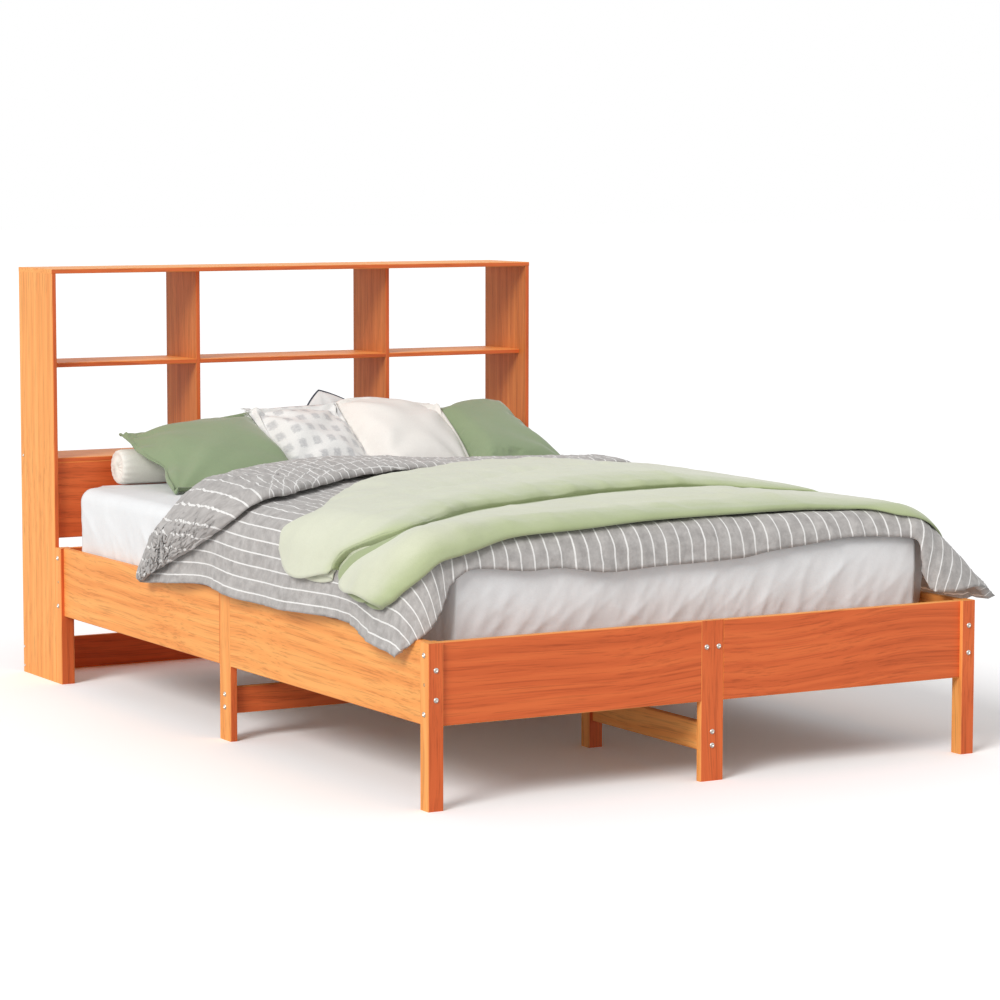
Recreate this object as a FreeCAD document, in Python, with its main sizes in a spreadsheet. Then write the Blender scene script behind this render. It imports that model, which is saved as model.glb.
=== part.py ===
import FreeCAD, Part
import math
import os
import re

import Sketcher

# A slatted double bed with an open bookcase as its headboard. Millimetres, +Z up.
# The origin is on the floor, midway between the sides and midway between the ends.
# X runs across the bed, and +Y points from the foot to the head.

Vector = FreeCAD.Vector
doc = FreeCAD.newDocument("bookcase_headboard_bed")

# ---------------------------------------------------------------- driving sizes

SIZES = [
    ("inner_width", "1400", "clear width between the side rails"),
    ("inner_length", "2000", "clear length between the end rails"),
    ("rail_top", "362", "floor to the tops of rails and legs"),
    ("leg_side", "37", "square section of a corner leg or centre leg"),
    ("rail_height", "181", "height of a rail board"),
    ("rail_thickness", "18", "thickness of rails, mid legs and stretchers"),
    ("mid_leg_width", "60", "width of a mid leg"),
    ("edge_easing", "1.5", "chamfer along the long edges of a board"),
    ("stretcher_height", "64", "height of a stretcher"),
    ("stretcher_bottom", "64", "floor to the underside of a stretcher"),
    ("centre_leg_set_back", "476.5", "foot mid leg to the nearest centre leg"),
    ("bearer_width", "60", "width of the centre bearer, laid flat"),
    ("bearer_thickness", "18", "thickness of the centre bearer"),
    ("bearer_drop", "50", "rail tops to the top of bearer and ledges"),
    ("ledge_width", "22", "width of a slat ledge"),
    ("ledge_height", "28", "height of a slat ledge"),
    ("slat_count", "13", "slats on each side of the bearer"),
    ("slat_width", "65", "width of a slat"),
    ("slat_thickness", "14", "thickness of a slat"),
    ("slat_gap", "1", "gap at the ends of slats and ledges"),
    ("splice_length", "260", "length of a block behind a mid leg"),
    ("splice_height", "100", "height of a block behind a mid leg"),
    ("bookcase_depth", "232", "front to back of the bookcase"),
    ("bookcase_height", "1097", "floor to the top of the bookcase"),
    ("board_thickness", "12", "thickness of the bookcase's boards"),
    ("bay_width", "568", "clear width of the middle bay"),
    ("shelf_recess", "36", "side panel front to dividers and middle shelves"),
    ("middle_shelf_top", "848", "floor to the top of the middle shelves"),
    ("lower_shelf_top", "597", "floor to the top of the lower shelf"),
    ("backrest_recess", "20", "side panel front to lower shelf and backrest"),
    ("backrest_bottom", "384", "floor to the underside of the backrest panel"),
    ("backrest_thickness", "18", "thickness of the backrest panel"),
    ("base_rail_height", "88", "height of the bookcase's base rail"),
    ("base_rail_inset", "3", "back of the bookcase to its base rail"),
    ("bore_sides", "8", "sides of a bore and of the shank or dowel in it"),
    ("head_sides", "12", "sides of a bolt's or screw's head"),
    ("bolt_diameter", "6", "shank of a bolt"),
    ("bolt_clearance", "0.3", "shank to its hole, on the radius"),
    ("bolt_reach", "33", "shank beyond the leg, inside the rail or stretcher"),
    ("bolt_head_diameter", "12.4", "head of a bolt"),
    ("bolt_head_height", "3.2", "height of a bolt's domed head"),
    ("socket_size", "4", "across the flats of the key socket"),
    ("end_bolt_margin", "27", "rail edge to the end rail's bolts"),
    ("side_bolt_spacing", "64", "between the side rail's two bolts"),
    ("bearer_bolt_spacing", "32", "between the bearer's two bolts"),
    ("stretcher_bolt_spacing", "31", "between a stretcher's two bolts"),
    ("barrel_nut_diameter", "10", "cross dowel that takes a bolt"),
    ("barrel_nut_length", "14", "length of a cross dowel"),
    ("barrel_nut_distance", "25", "end of the timber to a cross dowel"),
    ("dowel_diameter", "8", "wooden dowel at each leg"),
    ("dowel_reach", "30", "dowel beyond the leg, inside the rail"),
    ("dowel_clearance", "0.2", "dowel to its hole, on the radius"),
    ("screw_diameter", "4", "shank of a bookcase screw"),
    ("screw_head_diameter", "8", "flat head of a bookcase screw"),
    ("screw_head_height", "1.6", "height of a bookcase screw's head"),
    ("screw_length", "34", "length of a bookcase screw's shank"),
    ("screw_margin", "18", "board edge to a bookcase screw"),
    ("bracket_leaf", "24", "leaf width of a corner bracket"),
    ("bracket_height", "40", "height of a corner bracket"),
    ("bracket_gauge", "2", "steel thickness of a corner bracket"),
    ("bracket_margin", "3", "rail top to the upper corner brackets"),
    ("soft_clearance", "0.3", "gap between a soft piece and what it rests on"),
    ("mattress_width", "1396", "width of the mattress"),
    ("mattress_length", "1940", "length of the mattress"),
    ("mattress_height", "200", "height of the mattress"),
    ("end_play", "2.5", "head rail to the mattress"),
    ("mattress_corner", "45", "rounding of the mattress's upright corners"),
    ("mattress_edge", "30", "how far its top and bottom edges draw in"),
    ("duvet_thickness", "40", "loft of the duvet on top of the mattress"),
    ("duvet_crown", "12", "how far the duvet's middle stands above its long edges"),
    ("duvet_length", "1560", "bend over the foot to the farthest head edge, and the foot's hang"),
    ("duvet_side_inset", "58", "mattress's side in to where the duvet starts to bend down"),
    ("duvet_foot_inset", "43.5", "mattress's foot in to where the duvet starts to bend down"),
    ("duvet_side_round", "85", "radius of its bend over a side"),
    ("duvet_foot_round", "62", "radius of its bend over the foot"),
    ("duvet_side_flare", "12", "slope of its hanging sides, in degrees from the upright"),
    ("duvet_foot_flare", "7", "slope of its foot strip, in degrees from the upright"),
    ("duvet_side_hang", "285", "start of the bend to the hem, at the sides"),
    ("duvet_fill", "14", "thickness of the duvet where it hangs"),
    ("duvet_rail_gap", "1.5", "side rail or leg to the duvet outside it"),
    ("duvet_rise", "6", "rail and leg tops to the duvet over them"),
    ("duvet_margin", "3", "mattress to the duvet where both bend"),
    ("fold_length", "370", "one fold of the hanging duvet to the next"),
    ("fold_depth", "6", "mean line to the crest of a fold"),
    ("corner_inset", "75", "how much sooner the duvet bends at the right foot corner"),
    ("corner_round", "75", "how much wider its bend is there"),
    ("corner_flare", "38", "how much more its hem flares there, in degrees"),
    ("corner_rise", "27", "how far it stands up there"),
    ("corner_length", "190", "how far along the bed that corner's shape reaches"),
    ("flap_thickness", "20", "thickness of the duvet's turned back flap"),
    ("flap_swell", "16", "how much thicker the flap is in its middle"),
    ("throw_roll", "38", "height of the throw's two soft rolls"),
    ("throw_edge", "12", "height of the throw at its edges and in its valley"),
    ("throw_lift", "5", "duvet to the throw where they bend together"),
    ("green_pillow_width", "440", "width of a green pillow"),
    ("green_pillow_height", "400", "height of a green pillow"),
    ("green_pillow_thickness", "132", "crown to crown of a green pillow"),
    ("white_pillow_width", "380", "width of the white pillow at the back"),
    ("white_pillow_height", "268", "height of the white pillow"),
    ("white_pillow_thickness", "56", "crown to crown of the white pillow"),
    ("plaid_cushion_width", "290", "width of the plaid cushion"),
    ("plaid_cushion_height", "335", "height of the plaid cushion"),
    ("plaid_cushion_thickness", "105", "crown to crown of the plaid cushion"),
    ("cream_cushion_width", "360", "width of the cream cushion"),
    ("cream_cushion_height", "360", "height of the cream cushion"),
    ("cream_cushion_thickness", "115", "crown to crown of the cream cushion"),
    ("bolster_diameter", "94", "diameter of the bolster"),
    ("bolster_length", "360", "length of the bolster"),
    ("bolster_end", "12", "bevel of the bolster's ends"),
    ("bolster_place", "152", "side of the bed to the bolster's end"),
    ("bolster_gap", "17", "bookcase's front to the bolster"),
]

# Lengths that follow from the driving sizes.
WORKED_OUT = [
    ("bed_width", "=inner_width + leg_side + rail_thickness", "outside width"),
    ("base_length", "=inner_length + leg_side + rail_thickness", "foot to head legs"),
    ("foot_face", "=-(base_length + bookcase_depth) / 2", "Y of the foot legs' fronts"),
    ("head_face", "=foot_face + base_length", "Y of the bookcase's front"),
    ("rail_inset", "=(leg_side - rail_thickness) / 2", "leg face to rail face"),
    ("rail_bottom", "=rail_top - rail_height", "floor to the rails' undersides"),
    ("middle_y", "=foot_face + base_length / 2", "Y of the side mid legs' middles"),
    ("bearer_top", "=rail_top - bearer_drop", "floor to the slats' undersides"),
    ("bearer_bottom", "=bearer_top - bearer_thickness", "floor to the bearer"),
    ("slat_top", "=bearer_top + slat_thickness", "floor to the slats' tops"),
    ("mattress_top", "=slat_top + soft_clearance + mattress_height", "its top"),
    ("shelf_width", "=bed_width - 2 * board_thickness", "between the side panels"),
]

sheet = doc.addObject("Spreadsheet::Sheet", "Sizes")
for row, (alias, value, meaning) in enumerate(SIZES + WORKED_OUT, start=1):
    sheet.set("A%d" % row, alias)
    sheet.set("B%d" % row, value)
    sheet.set("C%d" % row, meaning)
    sheet.setAlias("B%d" % row, alias)
doc.recompute()

SHEET_NAMES = {alias for alias, value, meaning in SIZES + WORKED_OUT}


def bound(text):
    """An expression in the sheet's names, written out with the sheet in front of each."""
    return re.sub(
        r"[a-z_]{2,}",
        lambda word: "Sizes." + word[0] if word[0] in SHEET_NAMES else word[0],
        text,
    )


def mm(text):
    """The value, in millimetres, of an expression in the sheet's names."""
    return float(sheet.evalExpression(bound(text)))


# ---------------------------------------------------------------- boards

parts = []

# The turn that lays a bore along each direction, and the board's two other directions.
BORE_TURNS = {
    "x": (FreeCAD.Rotation(Vector(0, 1, 0), 90), "yz"),
    "y": (FreeCAD.Rotation(Vector(1, 0, 0), -90), "xz"),
    "z": (FreeCAD.Rotation(), "xy"),
}
RUN_PAST = "1"


def origin_plane(body, role):
    """The body's own origin plane with this role."""
    return [item for item in body.Origin.OriginFeatures if item.Role == role][0]


def rectangle_sketch(body, width, depth):
    """A rectangle on the XY plane, from the origin to width along X and depth along Y."""
    sketch = body.newObject("Sketcher::SketchObject", body.Label + "_outline")
    sketch.AttachmentSupport = [(origin_plane(body, "XY_Plane"), "")]
    sketch.MapMode = "FlatFace"
    corners = [Vector(0, 0, 0), Vector(9, 0, 0), Vector(9, 9, 0), Vector(0, 9, 0)]
    for side in range(4):
        line = Part.LineSegment(corners[side], corners[(side + 1) % 4])
        sketch.addGeometry(line, False)
    for side in range(4):
        sketch.addConstraint(Sketcher.Constraint("Coincident", side, 2, (side + 1) % 4, 1))
    for side in (0, 2):
        sketch.addConstraint(Sketcher.Constraint("Horizontal", side))
        sketch.addConstraint(Sketcher.Constraint("Vertical", side + 1))
    sketch.addConstraint(Sketcher.Constraint("Coincident", 0, 1, -1, 1))
    across = sketch.addConstraint(Sketcher.Constraint("DistanceX", 0, 1, 0, 2, 9))
    along = sketch.addConstraint(Sketcher.Constraint("DistanceY", 1, 1, 1, 2, 9))
    sketch.setExpression("Constraints[%d]" % across, bound(width))
    sketch.setExpression("Constraints[%d]" % along, bound(depth))
    return sketch


def bore(name, size, corner, hole):
    """A bore as a prism whose flats touch the round hole that it stands for.

    The hole is its direction, the end it starts from, its centre in the board's own
    measures, its diameter, and its depth where it is blind.
    """
    direction, start, centre, diameter, depth = hole
    turn, others = BORE_TURNS[direction]
    side = size["xyz".index(direction)]
    begin = corner["xyz".index(direction)]
    length = depth
    if start == "through":
        length = "%s + 2 * %s" % (side, RUN_PAST)
        begin = "%s - %s" % (begin, RUN_PAST)
    elif start == "high":
        begin = "%s + %s - (%s)" % (begin, side, depth)
    prism = doc.addObject("Part::Prism", name)
    prism.Placement = FreeCAD.Placement(Vector(), turn)
    prism.setExpression("Polygon", bound("bore_sides"))
    prism.setExpression("Circumradius", bound("(%s) / 2 / cos(180 deg / bore_sides)" % diameter))
    prism.setExpression("Height", bound(length))
    prism.setExpression("Placement.Base." + direction, bound(begin))
    for axis, across in zip(others, centre):
        low = corner["xyz".index(axis)]
        prism.setExpression("Placement.Base." + axis, bound("%s + %s" % (low, across)))
    return prism


def board(name, size, corner, holes=(), grain=None):
    """A planed board with its four long edges eased, its low corner at the given place.

    size and corner are three expressions each. grain is the direction of the long edges,
    0 for X, 1 for Y and 2 for Z, and the longest side where it isn't given.
    """
    body = doc.addObject("PartDesign::Body", name)
    body.Label = name
    outline = rectangle_sketch(body, size[0], size[1])
    pad = body.newObject("PartDesign::Pad", name + "_pad")
    pad.Profile = outline
    pad.setExpression("Length", bound(size[2]))
    doc.recompute()
    lengths = [mm(side) for side in size]
    along = lengths.index(max(lengths)) if grain is None else grain
    eased = []
    for count, edge in enumerate(pad.Shape.Edges, start=1):
        box = edge.BoundBox
        if (box.XLength, box.YLength, box.ZLength)[along] > lengths[along] / 2:
            eased.append("Edge%d" % count)
    chamfer = body.newObject("PartDesign::Chamfer", name + "_easing")
    chamfer.Base = (pad, eased)
    chamfer.setExpression("Size", bound("edge_easing"))
    for axis, place in zip("xyz", corner):
        body.setExpression("Placement.Base." + axis, bound(place))
    if not holes:
        parts.append(body)
        return body
    body.Label = name + "_blank"
    bores = [bore("%s_bore_%d" % (name, number), size, corner, hole)
             for number, hole in enumerate(holes, start=1)]
    together = doc.addObject("Part::MultiFuse", name + "_bores")
    together.Shapes = bores
    drilled = doc.addObject("Part::Cut", name)
    drilled.Label = name
    drilled.Base = body
    drilled.Tool = together
    doc.recompute()
    for item in bores:
        if item.Shape.common(body.Shape).Volume < 1:
            raise ValueError(item.Label + " cuts nothing")
    parts.append(drilled)
    return drilled


def feature(name, shape):
    """A piece whose shape is worked out by Part's own functions, already in its place."""
    piece = doc.addObject("Part::Feature", name)
    piece.Label = name
    piece.Shape = shape
    parts.append(piece)
    return piece


# ---------------------------------------------------------------- the bed's frame

BOLT_HOLE = "bolt_diameter + 2 * bolt_clearance"
BOLT_DEPTH = "bolt_reach + bolt_clearance"
DOWEL_HOLE = "dowel_diameter + 2 * dowel_clearance"
LEG_MIDDLE = "leg_side / 2"
RAIL_MIDDLE = "rail_top - rail_height / 2"
END_BOLTS = ("rail_top - end_bolt_margin", "rail_bottom + end_bolt_margin")
SIDE_BOLTS = (
    RAIL_MIDDLE + " + side_bolt_spacing / 2",
    RAIL_MIDDLE + " - side_bolt_spacing / 2",
)
STRETCHER_MIDDLE = "stretcher_bottom + stretcher_height / 2"
STRETCHER_BOLTS = (
    STRETCHER_MIDDLE + " + stretcher_bolt_spacing / 2",
    STRETCHER_MIDDLE + " - stretcher_bolt_spacing / 2",
)
SIDES = (("left", -1), ("right", 1))
ENDS = (("foot", -1), ("head", 1))


def at_side(sign, inset, width):
    """Low X of a piece this wide whose outer face lies this far in from the bed's side."""
    if sign < 0:
        return "-bed_width / 2 + (%s)" % inset
    return "bed_width / 2 - (%s) - (%s)" % (inset, width)


def at_end(sign, inset, depth):
    """Low Y of a piece this deep whose outer face lies this far in from the base's end."""
    if sign < 0:
        return "foot_face + (%s)" % inset
    return "head_face - (%s) - (%s)" % (inset, depth)


# Corner legs: square posts, bored from the side for the end rail's bolts and dowel, and
# from the end for the side rail's bolts.
for end, end_sign in ENDS:
    for side, side_sign in SIDES:
        bores = [("x", "through", (LEG_MIDDLE, height), BOLT_HOLE, None) for height in END_BOLTS]
        bores.append(("x", "through", (LEG_MIDDLE, RAIL_MIDDLE), DOWEL_HOLE, None))
        bores += [("y", "through", (LEG_MIDDLE, height), BOLT_HOLE, None) for height in SIDE_BOLTS]
        board(
            "%s_%s_leg" % (end, side),
            ("leg_side", "leg_side", "rail_top"),
            (at_side(side_sign, "0", "leg_side"), at_end(end_sign, "0", "leg_side"), "0"),
            bores,
        )

# Mid legs: flat boards that stand between the two halves of each rail.
for end, end_sign in ENDS:
    bores = [
        ("y", "through", ("mid_leg_width / 2 + %d * bearer_bolt_spacing / 2" % way,
                          "bearer_top - bearer_thickness / 2"), BOLT_HOLE, None)
        for way in (-1, 1)
    ]
    for height in STRETCHER_BOLTS:
        bores.append(("y", "through", ("mid_leg_width / 2", height), BOLT_HOLE, None))
    board(
        end + "_mid_leg",
        ("mid_leg_width", "rail_thickness", "rail_top"),
        ("-mid_leg_width / 2", at_end(end_sign, "rail_inset", "rail_thickness"), "0"),
        bores,
    )
for side, side_sign in SIDES:
    board(
        side + "_mid_leg",
        ("rail_thickness", "mid_leg_width", "rail_top"),
        (at_side(side_sign, "rail_inset", "rail_thickness"), "middle_y - mid_leg_width / 2", "0"),
        [("x", "through", ("mid_leg_width / 2", height), BOLT_HOLE, None) for height in STRETCHER_BOLTS],
    )

# Side rails, two to a side, each from a corner leg to the mid leg.
SIDE_RAIL = "base_length / 2 - leg_side - mid_leg_width / 2"
for end, end_sign in ENDS:
    for side, side_sign in SIDES:
        leg_end = "low" if end_sign < 0 else "high"
        board(
            "%s_%s_side_rail" % (end, side),
            ("rail_thickness", SIDE_RAIL, "rail_height"),
            (
                at_side(side_sign, "rail_inset", "rail_thickness"),
                at_end(end_sign, "leg_side", SIDE_RAIL),
                "rail_bottom",
            ),
            [
                ("y", leg_end, ("rail_thickness / 2", height + " - rail_bottom"), BOLT_HOLE, BOLT_DEPTH)
                for height in SIDE_BOLTS
            ],
        )

# End rails, two at the foot and two at the head, each from a corner leg to the mid leg.
END_RAIL = "bed_width / 2 - leg_side - mid_leg_width / 2"
for end, end_sign in ENDS:
    for side, side_sign in SIDES:
        leg_end = "low" if side_sign < 0 else "high"
        bores = [
            ("x", leg_end, ("rail_thickness / 2", height + " - rail_bottom"), BOLT_HOLE, BOLT_DEPTH)
            for height in END_BOLTS
        ]
        bores.append(("x", leg_end, ("rail_thickness / 2", "rail_height / 2"), DOWEL_HOLE,
                      "dowel_reach + dowel_clearance"))
        board(
            "%s_%s_end_rail" % (end, side),
            (END_RAIL, "rail_thickness", "rail_height"),
            (
                at_side(side_sign, "leg_side", END_RAIL),
                at_end(end_sign, "rail_inset", "rail_thickness"),
                "rail_bottom",
            ),
            bores,
        )

# Splice blocks, which tie the two halves of a rail together behind its mid leg. The ledges
# or the bearer lie over them.
SPLICE_LOW = "bearer_top - ledge_height - splice_height"
RAIL_BACK = "rail_inset + rail_thickness"
for end, end_sign in ENDS:
    board(
        end + "_splice_block",
        ("splice_length", "rail_thickness", "splice_height"),
        ("-splice_length / 2", at_end(end_sign, RAIL_BACK, "rail_thickness"), SPLICE_LOW),
    )
for side, side_sign in SIDES:
    board(
        side + "_splice_block",
        ("rail_thickness", "splice_length", "splice_height"),
        (at_side(side_sign, RAIL_BACK, "rail_thickness"), "middle_y - splice_length / 2", SPLICE_LOW),
    )

# Slat ledges, fixed along the inside of the side rails and just clear of the legs.
LEDGE_END = "leg_side + slat_gap"
LEDGE_LENGTH = "base_length - 2 * leg_side - 2 * slat_gap"
for side, side_sign in SIDES:
    board(
        side + "_slat_ledge",
        ("ledge_width", LEDGE_LENGTH, "ledge_height"),
        (
            at_side(side_sign, RAIL_BACK, "ledge_width"),
            "foot_face + " + LEDGE_END,
            "bearer_top - ledge_height",
        ),
    )

# The centre bearer lies flat in two halves that meet over the middle leg.
for end, end_sign in ENDS:
    mid_leg_end = "low" if end_sign < 0 else "high"
    board(
        end + "_centre_bearer",
        ("bearer_width", "inner_length / 2", "bearer_thickness"),
        ("-bearer_width / 2", at_end(end_sign, RAIL_BACK, "inner_length / 2"), "bearer_bottom"),
        [
            ("y", mid_leg_end, ("bearer_width / 2 + %d * bearer_bolt_spacing / 2" % way,
                                "bearer_thickness / 2"), BOLT_HOLE, BOLT_DEPTH)
            for way in (-1, 1)
        ],
    )

# Centre legs carry the bearer: one near each end and one in the middle.
for end, end_sign in ENDS:
    board(
        end + "_centre_leg",
        ("leg_side", "leg_side", "bearer_bottom"),
        ("-leg_side / 2", at_end(end_sign, RAIL_BACK + " + centre_leg_set_back", "leg_side"), "0"),
    )
board(
    "middle_centre_leg",
    ("leg_side", "leg_side", "bearer_bottom"),
    ("-leg_side / 2", "middle_y - leg_side / 2", "0"),
)

# Stretchers tie the mid legs to the centre legs. A cross dowel in the stretcher takes
# each bolt that comes through the mid leg.
NUT_HOLE = "barrel_nut_diameter + 2 * bolt_clearance"
NUT_HOLE_DEPTH = "rail_thickness / 2 + barrel_nut_length / 2"
ACROSS = "inner_width / 2 - leg_side / 2"
for end, end_sign in ENDS:
    mid_leg_end = "low" if end_sign < 0 else "high"
    from_end = "barrel_nut_distance"
    if end_sign > 0:
        from_end = "centre_leg_set_back - barrel_nut_distance"
    bores = []
    for height in STRETCHER_BOLTS:
        above = height + " - stretcher_bottom"
        bores.append(("y", mid_leg_end, ("rail_thickness / 2", above), BOLT_HOLE, BOLT_DEPTH))
        bores.append(("x", "low", (from_end, above), NUT_HOLE, NUT_HOLE_DEPTH))
    board(
        end + "_stretcher",
        ("rail_thickness", "centre_leg_set_back", "stretcher_height"),
        (
            "-rail_thickness / 2",
            at_end(end_sign, RAIL_BACK, "centre_leg_set_back"),
            "stretcher_bottom",
        ),
        bores,
    )
for side, side_sign in SIDES:
    mid_leg_end = "low" if side_sign < 0 else "high"
    from_end = "barrel_nut_distance" if side_sign < 0 else ACROSS + " - barrel_nut_distance"
    bores = []
    for height in STRETCHER_BOLTS:
        above = height + " - stretcher_bottom"
        bores.append(("x", mid_leg_end, ("rail_thickness / 2", above), BOLT_HOLE, BOLT_DEPTH))
        bores.append(("y", "high", (from_end, above), NUT_HOLE, NUT_HOLE_DEPTH))
    board(
        side + "_stretcher",
        (ACROSS, "rail_thickness", "stretcher_height"),
        (
            at_side(side_sign, RAIL_BACK, ACROSS),
            "middle_y - rail_thickness / 2",
            "stretcher_bottom",
        ),
        bores,
    )

# Slats lie on the ledge and on half the bearer, in a column on each side.
for side, side_sign in SIDES:
    slat = doc.addObject("Part::Box", side + "_slat")
    slat.setExpression("Length", bound("inner_width / 2 - 2 * slat_gap"))
    slat.setExpression("Width", bound("slat_width"))
    slat.setExpression("Height", bound("slat_thickness"))
    slat.setExpression("Placement.Base.x", bound(at_side(side_sign, RAIL_BACK + " + slat_gap",
                                                         "inner_width / 2 - 2 * slat_gap")))
    slat.setExpression("Placement.Base.y", bound("foot_face + " + LEDGE_END))
    slat.setExpression("Placement.Base.z", bound("bearer_top"))
    doc.recompute()
    count = int(mm("slat_count"))
    step = (mm(LEDGE_LENGTH) - mm("slat_width")) / (count - 1)
    column = [slat.Shape.translated(Vector(0, number * step, 0)) for number in range(count)]
    feature(side + "_slats", Part.makeCompound(column))

# ---------------------------------------------------------------- the bookcase

BAY_EDGE = "bay_width / 2"
SIDE_BAY = "shelf_width / 2 - bay_width / 2 - board_thickness"
PANEL_HEIGHT = "bookcase_height - board_thickness"
SCREW_HOLE = "screw_diameter + 2 * bolt_clearance"
BASE_RAIL_FRONT = "bookcase_depth - base_rail_inset - board_thickness"

# Where the screws go through each side panel: from its front, and above the floor.
SCREW_PLACES = (
    (BASE_RAIL_FRONT + " + board_thickness / 2", "screw_margin"),
    (BASE_RAIL_FRONT + " + board_thickness / 2", "base_rail_height - screw_margin"),
    ("bookcase_depth - screw_margin", "lower_shelf_top - board_thickness / 2"),
)

for side, side_sign in SIDES:
    board(
        side + "_side_panel",
        ("board_thickness", "bookcase_depth", PANEL_HEIGHT),
        (at_side(side_sign, "0", "board_thickness"), "head_face", "0"),
        [("x", "through", place, SCREW_HOLE, None) for place in SCREW_PLACES],
    )

board(
    "top_board",
    ("bed_width", "bookcase_depth", "board_thickness"),
    ("-bed_width / 2", "head_face", PANEL_HEIGHT),
)

board(
    "lower_shelf",
    ("shelf_width", "bookcase_depth - backrest_recess", "board_thickness"),
    ("-shelf_width / 2", "head_face + backrest_recess", "lower_shelf_top - board_thickness"),
    [
        ("x", end, ("bookcase_depth - backrest_recess - screw_margin", "board_thickness / 2"),
         SCREW_HOLE, "screw_length - board_thickness + bolt_clearance")
        for end in ("low", "high")
    ],
)

for side, side_sign in SIDES:
    inner_x = "-bay_width / 2 - board_thickness" if side_sign < 0 else BAY_EDGE
    board(
        side + "_divider",
        ("board_thickness", "bookcase_depth - shelf_recess", PANEL_HEIGHT + " - lower_shelf_top"),
        (inner_x, "head_face + shelf_recess", "lower_shelf_top"),
        grain=2,
    )
    board(
        side + "_middle_shelf",
        (SIDE_BAY, "bookcase_depth - shelf_recess", "board_thickness"),
        (
            at_side(side_sign, "board_thickness", SIDE_BAY),
            "head_face + shelf_recess",
            "middle_shelf_top - board_thickness",
        ),
    )
board(
    "centre_middle_shelf",
    ("bay_width", "bookcase_depth - shelf_recess", "board_thickness"),
    ("-bay_width / 2", "head_face + shelf_recess", "middle_shelf_top - board_thickness"),
)

board(
    "backrest_panel",
    ("shelf_width", "backrest_thickness", "lower_shelf_top - board_thickness - backrest_bottom"),
    ("-shelf_width / 2", "head_face + backrest_recess", "backrest_bottom"),
)

board(
    "base_rail",
    ("shelf_width", "board_thickness", "base_rail_height"),
    ("-shelf_width / 2", "head_face + " + BASE_RAIL_FRONT, "0"),
    [
        ("x", end, ("board_thickness / 2", place[1]), SCREW_HOLE,
         "screw_length - board_thickness + bolt_clearance")
        for end in ("low", "high")
        for place in SCREW_PLACES[:2]
    ],
)

# ---------------------------------------------------------------- fasteners

CROWN = 0.6  # the flat on a head, as a share of the head's width


def ring(radius, height, sides):
    """The corners of a regular polygon about the Z axis, on a circle of this radius."""
    corners = []
    for corner in range(sides):
        angle = 2 * math.pi * corner / sides
        corners.append(Vector(radius * math.cos(angle), radius * math.sin(angle), height))
    return corners


def polygon(radius, height, sides):
    """A flat face on a regular polygon about the Z axis."""
    corners = ring(radius, height, sides)
    return Part.Face(Part.makePolygon(corners + corners[:1]))


def flat_loft(outlines):
    """A ruled loft through outlines that are scaled copies, so that each facet is flat.

    An outline is a list of its corners.
    """
    facets = [Part.Face(Part.makePolygon(points + points[:1])) for points in (outlines[0], outlines[-1])]
    for low, high in zip(outlines, outlines[1:]):
        for corner in range(len(low)):
            after = (corner + 1) % len(low)
            quad = [low[corner], low[after], high[after], high[corner], low[corner]]
            facets.append(Part.Face(Part.makePolygon(quad)))
    return Part.makeSolid(Part.makeShell(facets))


def prism_between(tip, seat, diameter):
    """A shank or dowel from tip to seat, a prism whose corners lie on this diameter."""
    axis = seat - tip
    shank = polygon(diameter / 2, 0, int(mm("bore_sides"))).extrude(Vector(0, 0, axis.Length))
    shank.Placement = FreeCAD.Placement(tip, FreeCAD.Rotation(Vector(0, 0, 1), axis))
    return shank


def bolt(tip, seat, head_diameter, head_height, shank_diameter, socket):
    """A bolt from its tip to the face that its head seats on, with a key socket if wanted."""
    axis = seat - tip
    sides = int(mm("head_sides"))
    low = ring(head_diameter / 2, 0, sides)
    high = ring(head_diameter / 2 * CROWN, head_height, sides)
    head = flat_loft([low, high])
    if socket > 0:
        key = polygon(socket / math.sqrt(3), head_height / 3, 6)
        head = head.cut(key.extrude(Vector(0, 0, head_height)))
    head.Placement = FreeCAD.Placement(seat, FreeCAD.Rotation(Vector(0, 0, 1), axis))
    return prism_between(tip, seat, shank_diameter).fuse(head)


def frame_bolt(seat, inward, thickness):
    """A frame bolt whose head seats at seat, going inward through this much timber."""
    tip = seat + inward * (thickness + mm("bolt_reach"))
    return bolt(tip, seat, mm("bolt_head_diameter"), mm("bolt_head_height"),
                mm("bolt_diameter"), mm("socket_size"))


half_width = mm("bed_width / 2")
leg = mm("leg_side")
end_bolts = []
side_bolts = []
dowels = []
for end_sign, leg_y in ((-1, mm("foot_face + leg_side / 2")), (1, mm("head_face - leg_side / 2"))):
    end_y = leg_y + end_sign * leg / 2
    for side_sign in (-1, 1):
        inward = Vector(-side_sign, 0, 0)
        outer_x = side_sign * half_width
        for height in END_BOLTS:
            end_bolts.append(frame_bolt(Vector(outer_x, leg_y, mm(height)), inward, leg))
        leg_x = outer_x - side_sign * leg / 2
        for height in SIDE_BOLTS:
            seat = Vector(leg_x, end_y, mm(height))
            side_bolts.append(frame_bolt(seat, Vector(0, -end_sign, 0), leg))
        dowel_end = Vector(outer_x, leg_y, mm(RAIL_MIDDLE))
        dowel_tip = dowel_end + inward * mm("leg_side + dowel_reach")
        dowels.append(prism_between(dowel_tip, dowel_end, mm("dowel_diameter")))
feature("end_rail_bolts", Part.makeCompound(end_bolts))
feature("side_rail_bolts", Part.makeCompound(side_bolts))
feature("leg_dowels", Part.makeCompound(dowels))

mid_bolts = []
cross_dowels = []
board_depth = mm("rail_thickness")


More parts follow.
